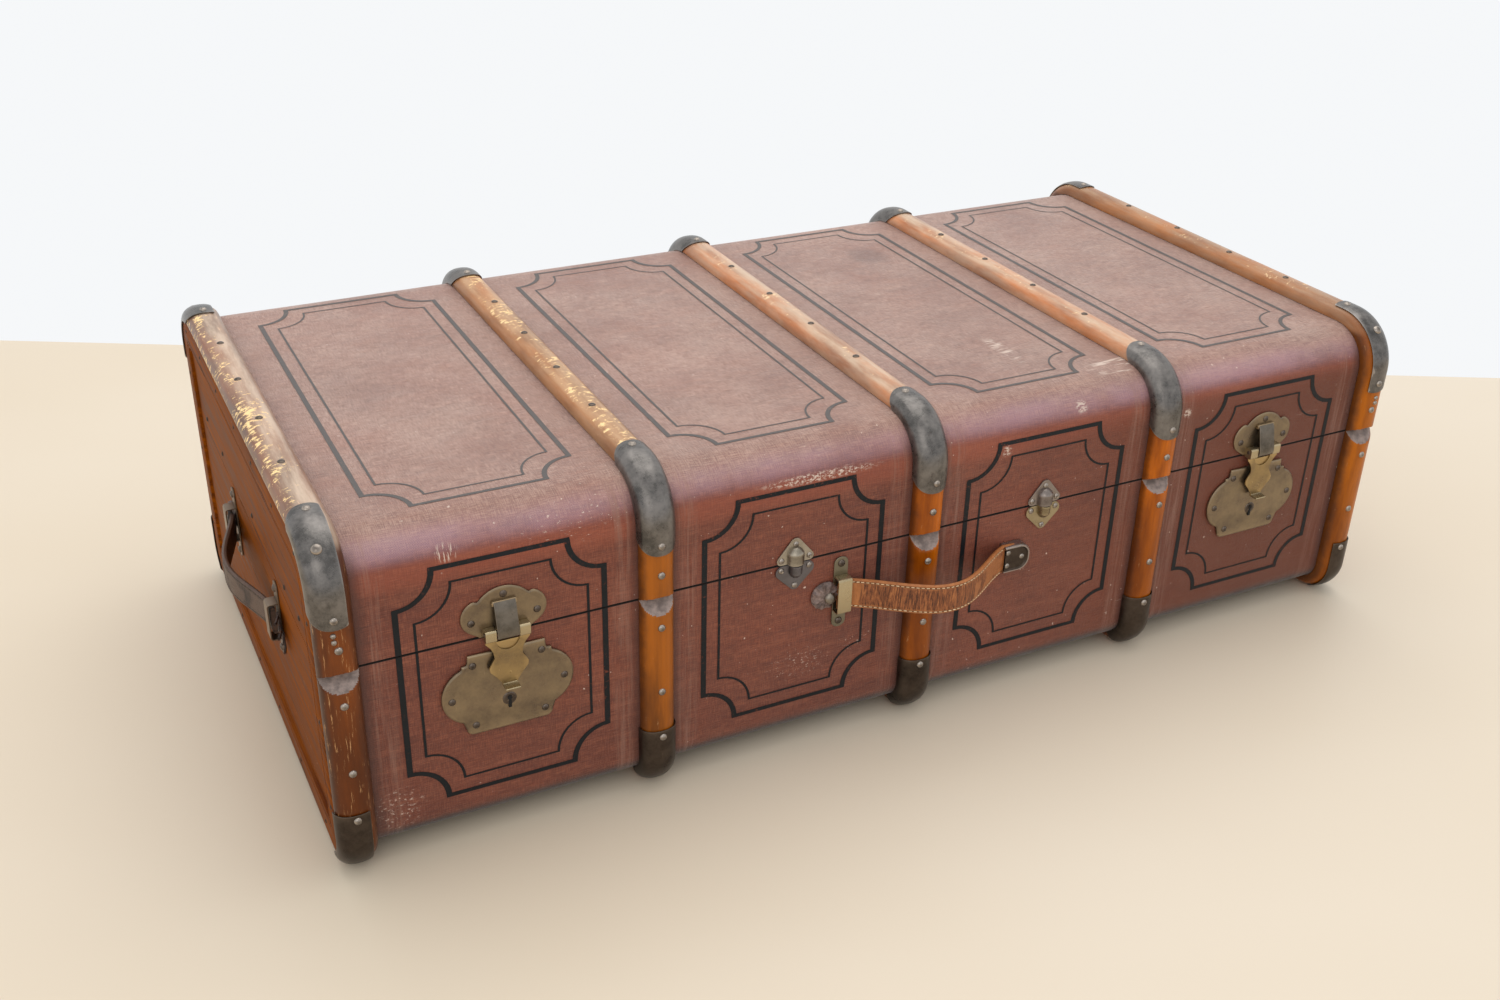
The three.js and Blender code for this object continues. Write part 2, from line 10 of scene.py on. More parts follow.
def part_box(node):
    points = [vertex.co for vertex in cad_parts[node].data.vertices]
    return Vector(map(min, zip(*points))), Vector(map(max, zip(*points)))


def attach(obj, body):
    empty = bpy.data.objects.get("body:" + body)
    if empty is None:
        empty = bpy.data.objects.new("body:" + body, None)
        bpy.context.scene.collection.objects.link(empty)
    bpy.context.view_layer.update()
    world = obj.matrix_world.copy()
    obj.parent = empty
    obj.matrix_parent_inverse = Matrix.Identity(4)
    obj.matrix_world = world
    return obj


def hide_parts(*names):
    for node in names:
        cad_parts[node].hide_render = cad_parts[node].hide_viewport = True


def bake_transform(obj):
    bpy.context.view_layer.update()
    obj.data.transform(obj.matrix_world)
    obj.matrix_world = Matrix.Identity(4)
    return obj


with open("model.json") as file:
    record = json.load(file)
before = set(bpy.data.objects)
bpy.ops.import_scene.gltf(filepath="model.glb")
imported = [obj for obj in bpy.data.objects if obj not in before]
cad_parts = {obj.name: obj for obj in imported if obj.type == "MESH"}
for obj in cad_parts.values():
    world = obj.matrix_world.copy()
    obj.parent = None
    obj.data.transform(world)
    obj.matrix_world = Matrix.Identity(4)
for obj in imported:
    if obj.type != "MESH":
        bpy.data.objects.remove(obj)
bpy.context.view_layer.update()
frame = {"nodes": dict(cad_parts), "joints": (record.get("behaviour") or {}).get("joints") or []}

# ---- places, from the frame (metres) ----
MM = 0.001
body_low, body_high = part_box("body_shell")
lid_low, lid_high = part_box("lid_shell")
HALF_DEPTH = lid_high.y
HALF_SHELL = lid_high.x
CANVAS_TOP = lid_high.z
CANVAS_BOTTOM = body_low.z
SEAM = (lid_low.z + body_high.z) / 2
END_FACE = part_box("body_end_right")[1].x
RIB_HEIGHT = CANVAS_BOTTOM
TOP_RADIUS = 40 * MM
BOTTOM_RADIUS = 24 * MM
WALL = 6 * MM
PANEL_RECESS = 3 * MM
SLAT_NUMBERS = range(1, 6)


def slat_place(number):
    """Middle and half width of a slat."""
    low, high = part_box(f"body_slat_{number}")
    return (low.x + high.x) / 2, (high.x - low.x) / 2


SLAT_PITCH = slat_place(4)[0] - slat_place(3)[0]
BAYS = [share * SLAT_PITCH for share in (-1.5, -0.5, 0.5, 1.5)]
rng = random.Random(11)


# ---- materials ----
class Signal:
    """A value, vector or colour inside a material. Arithmetic on it adds the nodes that work it out."""

    def __init__(self, shader, socket):
        self.shader, self.socket = shader, socket

    def math(self, operation, other=0.0):
        return self.shader.node("ShaderNodeMath", {0: self, 1: other}, operation=operation)

    def __add__(self, other):
        return self.math("ADD", other)

    def __sub__(self, other):
        return self.math("SUBTRACT", other)

    def __mul__(self, other):
        return self.math("MULTIPLY", other)

    def __abs__(self):
        return self.math("ABSOLUTE")

    def larger(self, other):
        return self.math("MAXIMUM", other)

    def part(self, index):
        """One coordinate of a vector."""
        return self.shader.node("ShaderNodeSeparateXYZ", {0: self}, index)

    def vector_math(self, operation, other, output=0):
        return self.shader.node("ShaderNodeVectorMath", {0: self, 1: other}, output, operation=operation)

    def noise(self, scale, detail=4.0, rough=0.6):
        return self.shader.node("ShaderNodeTexNoise", {"Vector": self, "Scale": scale, "Detail": detail,
                                                       "Roughness": rough}, "Fac")

    def streaks(self, scale, detail, rough):
        """Noise with its own scale on each axis."""
        return self.vector_math("MULTIPLY", scale).noise(1.0, detail, rough)

    def band(self, low, high, out_low=0.0, out_high=1.0):
        """A smooth step from one value to another as this one goes from low to high."""
        ends = {"Value": self, "From Min": low, "From Max": high, "To Min": out_low, "To Max": out_high}
        return self.shader.node("ShaderNodeMapRange", ends, "Result", interpolation_type="SMOOTHSTEP")


def rgb(red, green, blue):
    """A colour given as it looks on a screen, turned into linear light."""
    def linear(value):
        value /= 255
        return value / 12.92 if value <= 0.04045 else ((value + 0.055) / 1.055) ** 2.4
    return (linear(red), linear(green), linear(blue), 1.0)


class Shader:
    """A material with one Principled shader."""

    def __init__(self, name, **constants):
        self.material = bpy.data.materials.new(name)
        self.material.use_nodes = True
        self.tree = self.material.node_tree
        self.bsdf = self.tree.nodes["Principled BSDF"]
        for socket, value in constants.items():
            self.bsdf.inputs[socket.replace("_", " ")].default_value = value
        self.place = self.node("ShaderNodeTexCoord", {}, "Object")

    def node(self, kind, inputs, output=0, **settings):
        """A new node with its inputs linked to signals or set to constants, and one output as a signal."""
        made = self.tree.nodes.new(kind)
        for key, value in settings.items():
            setattr(made, key, value)
        for key, value in inputs.items():
            if isinstance(value, Signal):
                self.tree.links.new(value.socket, made.inputs[key])
            else:
                made.inputs[key].default_value = value
        return Signal(self, made.outputs[output])

    def flow(self):
        """Where a point lies along and across its strip, in metres."""
        return self.node("ShaderNodeAttribute", {}, "Vector", attribute_name="flow")

    def layers(self, colour, *coats):
        """A colour under coats laid on in turn, each given as how much of it, and its colour. Three plain
        numbers are a colour as it looks on a screen."""
        for amount, coat in coats:
            first, second = (rgb(*c) if isinstance(c, tuple) and len(c) == 3 else c for c in (colour, coat))
            colour = self.node("ShaderNodeMix", {0: amount, 6: first, 7: second}, 2, data_type="RGBA")
        return colour

    def upward(self):
        """How far a surface faces up, from -1 to 1, in the object's own space."""
        normal = self.node("ShaderNodeNewGeometry", {}, "Normal")
        own = self.node("ShaderNodeVectorTransform", {0: normal}, vector_type="NORMAL",
                        convert_from="WORLD", convert_to="OBJECT")
        return own.part(2)

    def finish(self, colour, roughness, bump=None, strength=0.0, depth=0.0, metal=None):
        for socket, value in (("Base Color", colour), ("Roughness", roughness), ("Metallic", metal)):
            if value is not None:
                self.tree.links.new(value.socket, self.bsdf.inputs[socket])
        if bump is not None:
            made = self.node("ShaderNodeBump", {"Height": bump, "Strength": strength, "Distance": depth})
            self.tree.links.new(made.socket, self.bsdf.inputs["Normal"])
        return self.material


def weave(flow):
    """A plain weave of threads about 1.5 mm apart, as a height."""
    pitch = 2 * math.pi / (1.5 * MM)
    return (flow.part(0) * pitch).math("SINE") * (flow.part(1) * pitch).math("SINE")


def threads(flow):
    """Uneven threads both ways, from 0 to 1."""
    warp = flow.streaks((100.0, 1400.0, 1.0), 3.0, 0.6)
    weft = flow.streaks((1400.0, 80.0, 1.0), 3.0, 0.6)
    return (warp + weft).band(0.78, 1.24)


def canvas_colour(shader):
    """Red-brown painted canvas: blotches, streaks, darker and paler threads, dust with painted glare on
    top, a painted sheen along the top bend, and painted shade on faces that look down and towards the right
    end.
    """
    flow, place, upward = shader.flow(), shader.place, shader.upward()
    streaks = flow.streaks((110.0, 9.0, 1.0), 5.0, 0.7)
    thread = threads(flow)
    above = place.part(2).band(250 * MM, 268 * MM)
    bend = above * upward.band(0.2, 0.5, 0.35, 0.0)
    # Painted shade: faces that do not look up turn darker and more saturated from the middle towards the
    # right end.
    right = place.part(0).band(0.0, 0.42) * upward.band(0.0, 0.4, 0.85, 0.0)
    # Painted sheen: a pale lilac highlight, woven and patchy, on the part of the top bend that looks half
    # up.
    painted_sheen = upward.band(0.25, 0.6) * upward.band(0.7, 0.98, 0.36, 0.0)
    painted_sheen = painted_sheen * weave(flow).band(-0.5, 0.5, 0.6, 1.3)
    painted_sheen = painted_sheen * place.noise(9.0, 5.0, 0.65).band(0.3, 0.65, 0.55, 1.25)
    patchiness = place.noise(11.0, 6.0, 0.7) * thread.band(0.0, 1.0, 0.6, 1.3)
    # Dust and painted glare: faces that look up turn a pale greyish pink, partly dust and partly the shine
    # of the bright room painted on.
    dust_and_glare = upward.band(0.3, 1.0) * patchiness.band(0.2, 0.8, 0.22, 0.62)
    return shader.layers(
        (100, 46, 32),
        (place.noise(5.0, 5.0).band(0.3, 0.7), (126, 62, 41)),
        (place.noise(14.0, 5.0, 0.7).band(0.45, 0.75, 0.0, 0.5), (92, 48, 36)),
        (streaks.band(0.45, 0.75, 0.0, 0.5), (148, 86, 62)),
        (streaks.band(0.5, 0.25, 0.0, 0.5), (86, 44, 38)),
        (thread.band(0.5, 1.0, 0.0, 0.3), (170, 104, 76)),
        (thread.band(0.5, 0.0, 0.0, 0.36), (66, 32, 24)),
        (bend, (170, 84, 56)),
        (right, (96, 36, 0)),
        # Painted shade: faces that look down are darkened almost to black.
        (upward.band(-0.1, -0.55, 0.0, 0.9), (26, 16, 12)),
        (painted_sheen * above, (190, 152, 172)),
        (dust_and_glare, (197, 168, 152)))


def scratches(shader, low, high):
    """Thin rubbed lines along the length and across it, from 0 to 1."""
    flow = shader.flow()
    long = flow.streaks((260.0, 7.0, 1.0), 6.0, 0.75)
    short = flow.streaks((16.0, 300.0, 1.0), 6.0, 0.75)
    both = long.band(low, high).larger(short.band(low + 0.03, high + 0.03))
    return both * shader.place.noise(6.0, 3.0).band(0.42, 0.62)


def scuffs(shader, scale, low, high):
    """Scattered chips, from 0 to 1."""
    return (shader.place.noise(scale, 8.0, 0.75).band(low, high)
            * shader.place.noise(7.0, 3.0).band(0.48, 0.6))


def zone(shader, centre, radius, squash=(1.0, 1.0, 1.0)):
    """A patch round a point of the trunk, in millimetres: 1 near the point, 0 from the radius outwards."""
    from_centre = shader.place.vector_math("SUBTRACT", tuple(c * MM for c in centre))
    away = from_centre.vector_math("MULTIPLY", squash).vector_math("LENGTH", (0.0, 0.0, 0.0), "Value")
    return away.band(radius * 0.4 * MM, radius * MM, 1.0, 0.0)


# Places with more chipped paint: where, how far, how much narrower on each axis, and how much more.
CHIPPED_PLACES = [((-110, -266, 277), 7, (0.1, 1, 1.3), 0.06), ((-125, -267, 90), 40, (1, 1, 2), -0.015),
                  ((-65, -267, 100), 22, (1, 1, 1.4), -0.02), ((-495, -267, 50), 26, (1, 1, 1), 0.0),
                  ((-330, -262, 285), 26, (0.4, 1, 1), -0.03), ((-60, 40, 305), 70, (1, 1, 1), -0.03),
                  ((85, -266, 262), 7, (1, 1, 1), 0.06), ((170, -262, 289), 9, (1, 1, 1), 0.08),
                  ((295, -266, 260), 6, (1, 1, 1), 0.1)]
# Places with rubbed strokes: where, how far, how much narrower, and how fine the strokes are on each axis.
STROKED_PLACES = [((155, -150, 305), 44, (4.2, 1, 1), (50.0, 560.0, 60.0)),
                  ((235, -225, 305), 32, (0.8, 1.5, 1), (30.0, 260.0, 60.0)),
                  ((-440, -266, 281), 11, (0.9, 1, 1.1), (520.0, 60.0, 90.0))]


def canvas_material():
    """The wrap's canvas: its colour, grime with painted shade and dust beside the slats, a stain, and
    worn-off paint.
    """
    shader = Shader("canvas", IOR=1.45, Sheen_Weight=0.2, Sheen_Roughness=0.45)
    flow, place = shader.flow(), shader.place
    beside = place.part(0).math("PINGPONG", SLAT_PITCH / 2)
    # Grime and painted shade: the canvas darkens next to each slat, more on faces that do not look up.
    grime_and_shade = beside + place.noise(30.0, 5.0, 0.7) * (8 * MM)
    grime_and_shade = grime_and_shade.band(19 * MM, 31 * MM, 1.0, 0.0) * shader.upward().band(0.3, 0.9, 0.7, 0.16)
    patchiness = place.streaks((400.0, 12.0, 12.0), 5.0, 0.7)
    beam = beside.band(20 * MM, 24 * MM) * beside.band(34 * MM, 42 * MM, 1.0, 0.0)
    worn = scuffs(shader, 90.0, 0.66, 0.71).larger(scratches(shader, 0.665, 0.74))
    specks = place.noise(210.0, 2.0, 0.5).band(0.73, 0.76)
    worn = worn.larger(specks * place.noise(5.0).band(0.45, 0.55))
    flakes = flow.streaks((420.0, 230.0, 1.0), 8.0, 0.75)
    for centre, radius, squash, more in CHIPPED_PLACES:
        patch = flakes.band(0.56 - more, 0.61 - more)
        worn = worn.larger(patch * zone(shader, centre, radius, squash))
    for centre, radius, squash, scale in STROKED_PLACES:
        strokes = place.streaks(scale, 5.0, 0.6).band(0.52, 0.58)
        worn = worn.larger(strokes * zone(shader, centre, radius, squash))
    colour = shader.layers(
        canvas_colour(shader),
        (grime_and_shade, (78, 46, 38)),
        (beam * patchiness.band(0.4, 0.7, 0.0, 0.5), (150, 112, 96)),
        (zone(shader, (170, 134, 305), 30) * 0.4, (70, 42, 38)),
        (worn * 0.8, (224, 204, 188)))
    rough = place.noise(30.0).band(0.3, 0.7, 0.36, 0.5)
    return shader.finish(colour, rough, weave(flow) * 0.3 + threads(flow), 0.5, 0.35 * MM)


def stripe_material():
    """Black paint, lightened on top by dust and painted glare, and worn through to the canvas."""
    shader = Shader("stripe_paint", Specular_IOR_Level=0.25)
    place = shader.place
    worn = place.noise(220.0, 6.0, 0.75).band(0.55, 0.7) * place.noise(12.0, 3.0).band(0.35, 0.75)
    # Dust and painted glare lighten the paint on faces that look up.
    dust_and_glare = shader.upward().band(0.5, 1.0) * 0.3
    colour = shader.layers((6, 9, 12), (place.noise(70.0), (20, 26, 32)), (dust_and_glare, (150, 140, 134)),
                           (worn, canvas_colour(shader)))
    return shader.finish(colour, worn.band(0, 1, 0.42, 0.6), threads(shader.flow()), 0.3, 0.3 * MM)


def wood_material(name, dark, light, pale, wear, to_side=0.0, marked=0.64, bare=(204, 166, 128), low=0.5):
    """Varnished bentwood: soft grain along the slat, flanks darkened by grime and painted shade, worn and
    chipped on top.
    """
    shader = Shader(name, Specular_IOR_Level=0.2, Coat_Weight=0.1, Coat_Roughness=0.18)
    flow = shader.flow()
    across, height = flow.part(1), shader.place.part(2)
    grain = flow.streaks((5.0, 260.0, 120.0), 6.0, 0.6)
    figure = flow.streaks((9.0, 50.0, 30.0), 4.0, 0.6)
    marks = flow.streaks((40.0, 420.0, 300.0), 7.0, 0.75)
    on_top = height.band(298 * MM, 306 * MM)
    # Grime and painted shade darken the slat's flanks where they meet the canvas, less on the lid's top.
    grime_and_shade = abs(across) + flow.noise(60.0, 5.0, 0.7) * (6 * MM)
    grime_and_shade = grime_and_shade.band(14 * MM, 19.5 * MM, 0.0, 0.75) * on_top.band(0, 1, 1.0, 0.35)
    upward = shader.upward().band(0.5, 0.97).larger(on_top * 0.55)
    leaning = across * to_side
    tone = flow.streaks((16.0, 90.0, 60.0), 5.0, 0.65).band(0.3, 0.7, 0.3, 0.78)
    tone = tone * leaning.band(0.0, 0.07, 1.0, 0.4)
    chips = flow.streaks((230.0, 120.0, 120.0), 8.0, 0.72) + flow.noise(14.0, 3.0, 0.5) * 0.4 + leaning
    limit = upward.band(0, 1, wear[0] + 0.2, wear[1] + 0.2)
    worn = (chips - limit).band(-0.01, 0.03)
    colour = shader.layers(
        dark,
        (figure.band(0.3, 0.7), light),
        (grain.band(0.4, 0.75, 0.0, 0.3), dark),
        (height.band(110 * MM, 215 * MM, low, 0.0), (84, 36, 0)),
        (grime_and_shade, (62, 36, 22)),
        (marks.band(marked, marked + 0.08, 0.0, 0.7), (210, 160, 108)),
        (upward * tone, bare),
        (worn, pale))
    return shader.finish(colour, worn.band(0, 1, 0.32, 0.7), grain * 0.4 + worn * -0.6, 0.35, 0.35 * MM)


def panel_material():
    """End boards: stained reddish-brown, with long grain, fine cracks and scattered chips."""
    shader = Shader("end_board", Specular_IOR_Level=0.05)
    place = shader.place
    grain = place.streaks((60.0, 7.0, 190.0), 6.0, 0.65)
    cracks = place.streaks((20.0, 5.0, 150.0), 4.0, 0.6).band(0.635, 0.665)
    colour = shader.layers(
        (82, 32, 0),
        (grain.band(0.3, 0.7), (150, 78, 0)),
        (place.noise(9.0, 5.0).band(0.35, 0.7, 0.0, 0.6), (112, 54, 0)),
        (scuffs(shader, 120.0, 0.62, 0.7), (190, 140, 100)),
        (cracks * 0.8, (48, 26, 14)))
    return shader.finish(colour, grain.band(0.3, 0.7, 0.42, 0.62), grain * 0.5 - cracks, 0.4, 0.5 * MM)


def metal_material(name, base, tint, rust, roughness):
    """Old metal: mottled tone, bright scores, rubbed edges that also carry a painted rim highlight, and a
    little corrosion.
    """
    shader = Shader(name)
    place = shader.place
    mottle = place.noise(44.0, 8.0, 0.75)
    lines = place.streaks((700.0, 700.0, 40.0), 6.0, 0.8)
    scored = lines.band(0.62, 0.7) * mottle.band(0.45, 0.6, 0.0, 0.55)
    stain = place.noise(130.0, 6.0, 0.7).band(0.6, 0.72, 0.0, 0.6)
    # Rubbed edges and painted rim highlight: sharp edges turn much lighter.
    rubbed_and_highlit = shader.node("ShaderNodeNewGeometry", {}, "Pointiness").band(0.51, 0.57, 0.0, 0.75)
    bright, brighter = ((*(min(1.0, times * c) for c in rgb(*tint)[:3]), 1.0) for times in (1.7, 2.2))
    colour = shader.layers(base, (mottle.band(0.3, 0.7), tint), (scored, brighter), (stain, rust),
                           (rubbed_and_highlit, bright))
    rough = mottle.band(0.25, 0.75, roughness - 0.1, roughness + 0.12) + stain.band(0, 1, 0.0, 0.15)
    height = place.streaks((900.0, 900.0, 60.0), 4.0, 0.8) * 0.3 + mottle
    return shader.finish(colour, rough, height, 0.25, 0.3 * MM, stain.band(0, 1, 0.9, 0.36))


def leather_material(name, tans, browns, crack_tone, half, dark_from, dark_full, dark_to):
    """Strap leather: paler edges, dark seams, and a darker middle full of fine cracks across the strap.
    Widths and lengths are in millimetres."""
    shader = Shader(name, IOR=1.45)
    flow = shader.flow()
    from_middle = abs(flow.part(1))
    middle = (from_middle + flow.noise(40.0) * (5 * MM)).band((half - 3) * MM, half * MM, 1.0, 0.0)
    wavy = flow.part(0) + flow.noise(60.0, 3.0) * (8 * MM)
    patches = flow.noise(38.0, 3.0, 0.5).band(0.46, 0.56, 0.15, 0.9)
    dark = middle * wavy.band(dark_full * MM, (dark_full + 8) * MM, 1.0, 0.0).larger(patches)
    dark = dark * wavy.band(dark_from * MM, (dark_from + 4) * MM)
    dark = dark * wavy.band((dark_to - 8) * MM, dark_to * MM, 1.0, 0.1)
    cracks = flow.streaks((850.0, 90.0, 200.0), 5.0, 0.7)
    crack = cracks.band(0.52, 0.58)
    ridge = cracks.band(0.46, 0.4) * dark.band(0, 1, 0.0, 0.5)
    from_seam = abs(from_middle - (half - 2.7) * MM)
    tan = shader.layers(tans[0], (flow.noise(140.0, 5.0), tans[1]))
    brown = shader.layers(browns[0], (flow.noise(110.0, 5.0), browns[1]))
    colour = shader.layers(tan, (dark, brown), (crack * dark.band(0, 1, 0.1, 0.75), crack_tone),
                           (ridge, tans[1]), (from_seam.band(0.5 * MM, 1.3 * MM, 0.6, 0.0), crack_tone))
    height = flow.noise(260.0, 5.0) - crack * 0.8
    return shader.finish(colour, dark.band(0, 1, 0.45, 0.62), height, 0.5, 0.4 * MM)


def plain_material(name, first, second, scale, roughness, bump=0.2):
    """A simple two-tone mottled material for small or hidden pieces."""
    shader = Shader(name)
    tone = shader.place.noise(scale, 5.0, 0.65)
    rough = tone.band(0.3, 0.7, roughness - 0.08, roughness + 0.08)
    return shader.finish(shader.layers(first, (tone.band(0.3, 0.7), second)), rough, tone, bump, 0.3 * MM)


CANVAS = canvas_material()
STRIPE = stripe_material()
WOOD = wood_material("slat_wood", (130, 60, 0), (204, 106, 0), (240, 208, 164), (0.9, 0.615),
                     bare=(212, 190, 164))
WOOD_CHIPPED = wood_material("slat_wood_chipped", (108, 58, 14), (168, 92, 16), (248, 212, 156),
                             (0.86, 0.57), low=0.0)
WOOD_LEFT = wood_material("slat_wood_left", (78, 38, 14), (132, 66, 16), (252, 216, 156), (0.8, 0.59),
                          -7.0, 0.58, bare=(220, 196, 172))
WOOD_RIGHT = wood_material("slat_wood_right", (126, 62, 0), (188, 102, 0), (232, 196, 150), (0.9, 0.635),
                           bare=(176, 148, 120), low=0.0)
BOARD = panel_material()
STEEL = metal_material("cap_steel", (76, 74, 72), (130, 125, 121), (62, 48, 40), 0.3)
FOOT_STEEL = metal_material("foot_cap_steel", (54, 46, 40), (84, 73, 64), (46, 34, 26), 0.34)
BRASS = metal_material("aged_brass", (104, 91, 78), (138, 121, 96), (84, 70, 52), 0.33)
HASP_BRASS = metal_material("rubbed_brass", (120, 102, 78), (156, 132, 90), (92, 76, 54), 0.32)
DARK_NAIL = metal_material("nail_dark", (50, 43, 39), (88, 78, 70), (40, 32, 28), 0.28)
BAND_BRASS = metal_material("olive_brass", (112, 99, 76), (152, 138, 110), (84, 72, 54), 0.3)
PLATE_BRASS = metal_material("dull_plate_brass", (82, 78, 66), (116, 110, 94), (66, 58, 46), 0.34)
NICKEL = metal_material("worn_nickel", (112, 104, 92), (156, 148, 134), (84, 72, 60), 0.34)
GREY_STEEL = metal_material("grey_steel", (74, 71, 72), (104, 100, 102), (60, 54, 50), 0.38)
LOOP_STEEL = metal_material("loop_iron", (74, 64, 56), (112, 98, 84), (70, 48, 34), 0.4)
NAIL = metal_material("nail_steel", (84, 77, 72), (140, 131, 122), (56, 46, 40), 0.26)
CATCH_STEEL = metal_material("catch_grey", (96, 88, 84), (136, 126, 120), (74, 64, 56), 0.3)
OLD_NAIL = metal_material("nail_black", (30, 26, 24), (56, 50, 46), (24, 20, 18), 0.5)
KEEPER = metal_material("keeper_steel", (82, 76, 68), (120, 112, 102), (64, 54, 46), 0.34)
LEATHER = leather_material("strap_leather", ((140, 78, 36), (196, 126, 70)),
                           ((98, 54, 28), (158, 92, 52)), (56, 30, 18), 15, 24, 134, 236)
DARK_STRAP = leather_material("end_strap_leather", ((66, 48, 40), (108, 82, 66)),
                              ((46, 38, 36), (84, 70, 62)), (30, 24, 22), 13, 4, 90, 200)
DARK_LEATHER = plain_material("tab_leather", (72, 58, 54), (146, 124, 116), 150.0, 0.5, 0.6)
DARK_THREAD = plain_material("dark_thread", (60, 48, 42), (112, 94, 80), 300.0, 0.75)
THREAD = plain_material("thread", (190, 156, 116), (244, 220, 180), 300.0, 0.75)
END_GRAIN = plain_material("slat_end", (104, 90, 84), (160, 142, 134), 120.0, 0.5, 0.35)
# Near-black painted shade for the gap between lid and body at the seam.
SEAM_SHADE = plain_material("seam_shade", (12, 8, 6), (26, 17, 13), 200.0, 0.9, 0.35)
LINING = plain_material("lining_paper", (190, 170, 138), (216, 200, 172), 24.0, 0.85)
SOFTWOOD = plain_material("rim_softwood", (150, 112, 72), (190, 150, 104), 60.0, 0.7)
BLACK = plain_material("keyhole_shadow", (10, 9, 8), (18, 16, 14), 90.0, 0.9)


# ---- mesh building ----
class Piece:
    """Collects points and faces, then becomes one object that rides on a body. Points are in metres.
    Prisms, bars, the size of a nail and bevels are given in millimetres."""

    def __init__(self, name):
        self.name = name
        self.points, self.flows, self.faces, self.slots = [], [], [], []

    def add(self, point, flow):
        self.points.append(Vector(point))
        self.flows.append(flow)
        return len(self.points) - 1

    def face(self, indices, slot=0):
        self.faces.append(tuple(indices))
        self.slots.append(slot)

    def grid(self, rows, closed=False, ends=False, slot=0, slot_of=None):
        """Faces between rows of (point, flow). closed joins each row's end to its start."""
        index = [[self.add(*entry) for entry in row] for row in rows]
        count = len(rows[0])
        for i in range(len(rows) - 1):
            for j in range(count if closed else count - 1):
                k = (j + 1) % count
                chosen = slot_of(i, j) if slot_of else slot
                self.face((index[i][j], index[i][k], index[i + 1][k], index[i + 1][j]), chosen)
        if ends:
            self.face(index[0][::-1], slot)
            self.face(index[-1], slot)
        return index

    def prism(self, outline, inner, outer, slot=0):
        """An outline of (x, z) points on a face that looks towards -Y, from one stand-off to another."""
        rows = [[((x, -away, z), (x, z, away)) for x, z in scaled(outline)]
                for away in (inner * MM, outer * MM)]
        self.grid(rows, closed=True, ends=True, slot=slot)

    def bar(self, profile, stops, ends=True, slot=0):
        """A profile of (stand-off, z) points carried along x through the stops."""
        rows = [[((x, -away, z), (z, x, away)) for away, z in scaled(profile)]
                for x in (stop * MM for stop in stops)]
        return self.grid(rows, closed=True, ends=ends, slot=slot)

    def rod(self, start, end, radius, sides, slot, rounding):
        """A round bar between two points, with softened ends."""
        start, end = Vector(start), Vector(end)
        length = (end - start).length
        axis = (end - start).normalized()
        side = axis.orthogonal().normalized()
        other = axis.cross(side)
        turns = [2 * math.pi * i / sides for i in range(sides)]
        rows = []
        for along, r in ((0, radius - rounding), (rounding, radius), (length - rounding, radius),
                         (length, radius - rounding)):
            centre = start + axis * along
            rows.append([(centre + (side * math.cos(t) + other * math.sin(t)) * r, (along, r * t, 0.0))
                         for t in turns])
        self.grid(rows, closed=True, ends=True, slot=slot)

    def dome(self, centre, normal, radius, height, slot=0):
        """A nail's round head, sitting on a surface."""
        centre, normal = Vector(centre), Vector(normal).normalized()
        side = normal.orthogonal().normalized()
        other = normal.cross(side)
        radius, height = radius * MM, height * MM
        sides, rings, tip = 14, 4, 0.04
        turns = [2 * math.pi * k / sides for k in range(sides)]
        rows = []
        for i in range(rings + 1):
            rise = math.pi / 2 * i / rings
            r, up = radius * (math.cos(rise) if i < rings else tip), height * math.sin(rise)
            rows.append([(centre + normal * up + (side * math.cos(a) + other * math.sin(a)) * r,
                          (r, a * radius, up)) for a in turns])
        self.grid(rows, closed=True, ends=True, slot=slot)

    def build(self, body, slot, materials, replaces=(), place=None, bevel=0.0, sharp=38):
        mesh = bpy.data.meshes.new(self.name)
        mesh.from_pydata([tuple(p) for p in self.points], [], self.faces)
        attribute = mesh.attributes.new("flow", "FLOAT_VECTOR", "POINT")
        attribute.data.foreach_set("vector", [c for f in self.flows for c in f])
        for material in materials:
            mesh.materials.append(material)
        mesh.polygons.foreach_set("material_index", self.slots)
        cleaned = bmesh.new()
        cleaned.from_mesh(mesh)
        bmesh.ops.remove_doubles(cleaned, verts=cleaned.verts, dist=1e-6)
        bmesh.ops.recalc_face_normals(cleaned, faces=cleaned.faces)
        if place is not None:
            bmesh.ops.transform(cleaned, matrix=place, verts=cleaned.verts)
        cleaned.to_mesh(mesh)
        cleaned.free()
        mesh.shade_smooth()
        mesh.set_sharp_from_angle(angle=math.radians(sharp))
        piece = bpy.data.objects.new(self.name, mesh)
        bpy.context.scene.collection.objects.link(piece)
        if bevel:
            rounded = piece.modifiers.new("rounded_edges", "BEVEL")
            rounded.width, rounded.segments = bevel * MM, 2
            rounded.limit_method, rounded.angle_limit = "ANGLE", math.radians(40)
        if replaces:
            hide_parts(*replaces)
        if body:
            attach(piece, body)
        return piece


def arc(cx, cy, radius, start, end, steps):
    """Points on an arc, with its angles in degrees."""
    turns = [math.radians(start + (end - start) * i / steps) for i in range(steps + 1)]
    return [(cx + radius * math.cos(t), cy + radius * math.sin(t)) for t in turns]


def mirrored(half):
    """Closes a left-right outline from its right half, listed from the bottom up."""
    return half + [(-x, z) for x, z in reversed(half)]


def scaled(points):
    """Points in millimetres, turned into metres."""
    return [tuple(c * MM for c in point) for point in points]


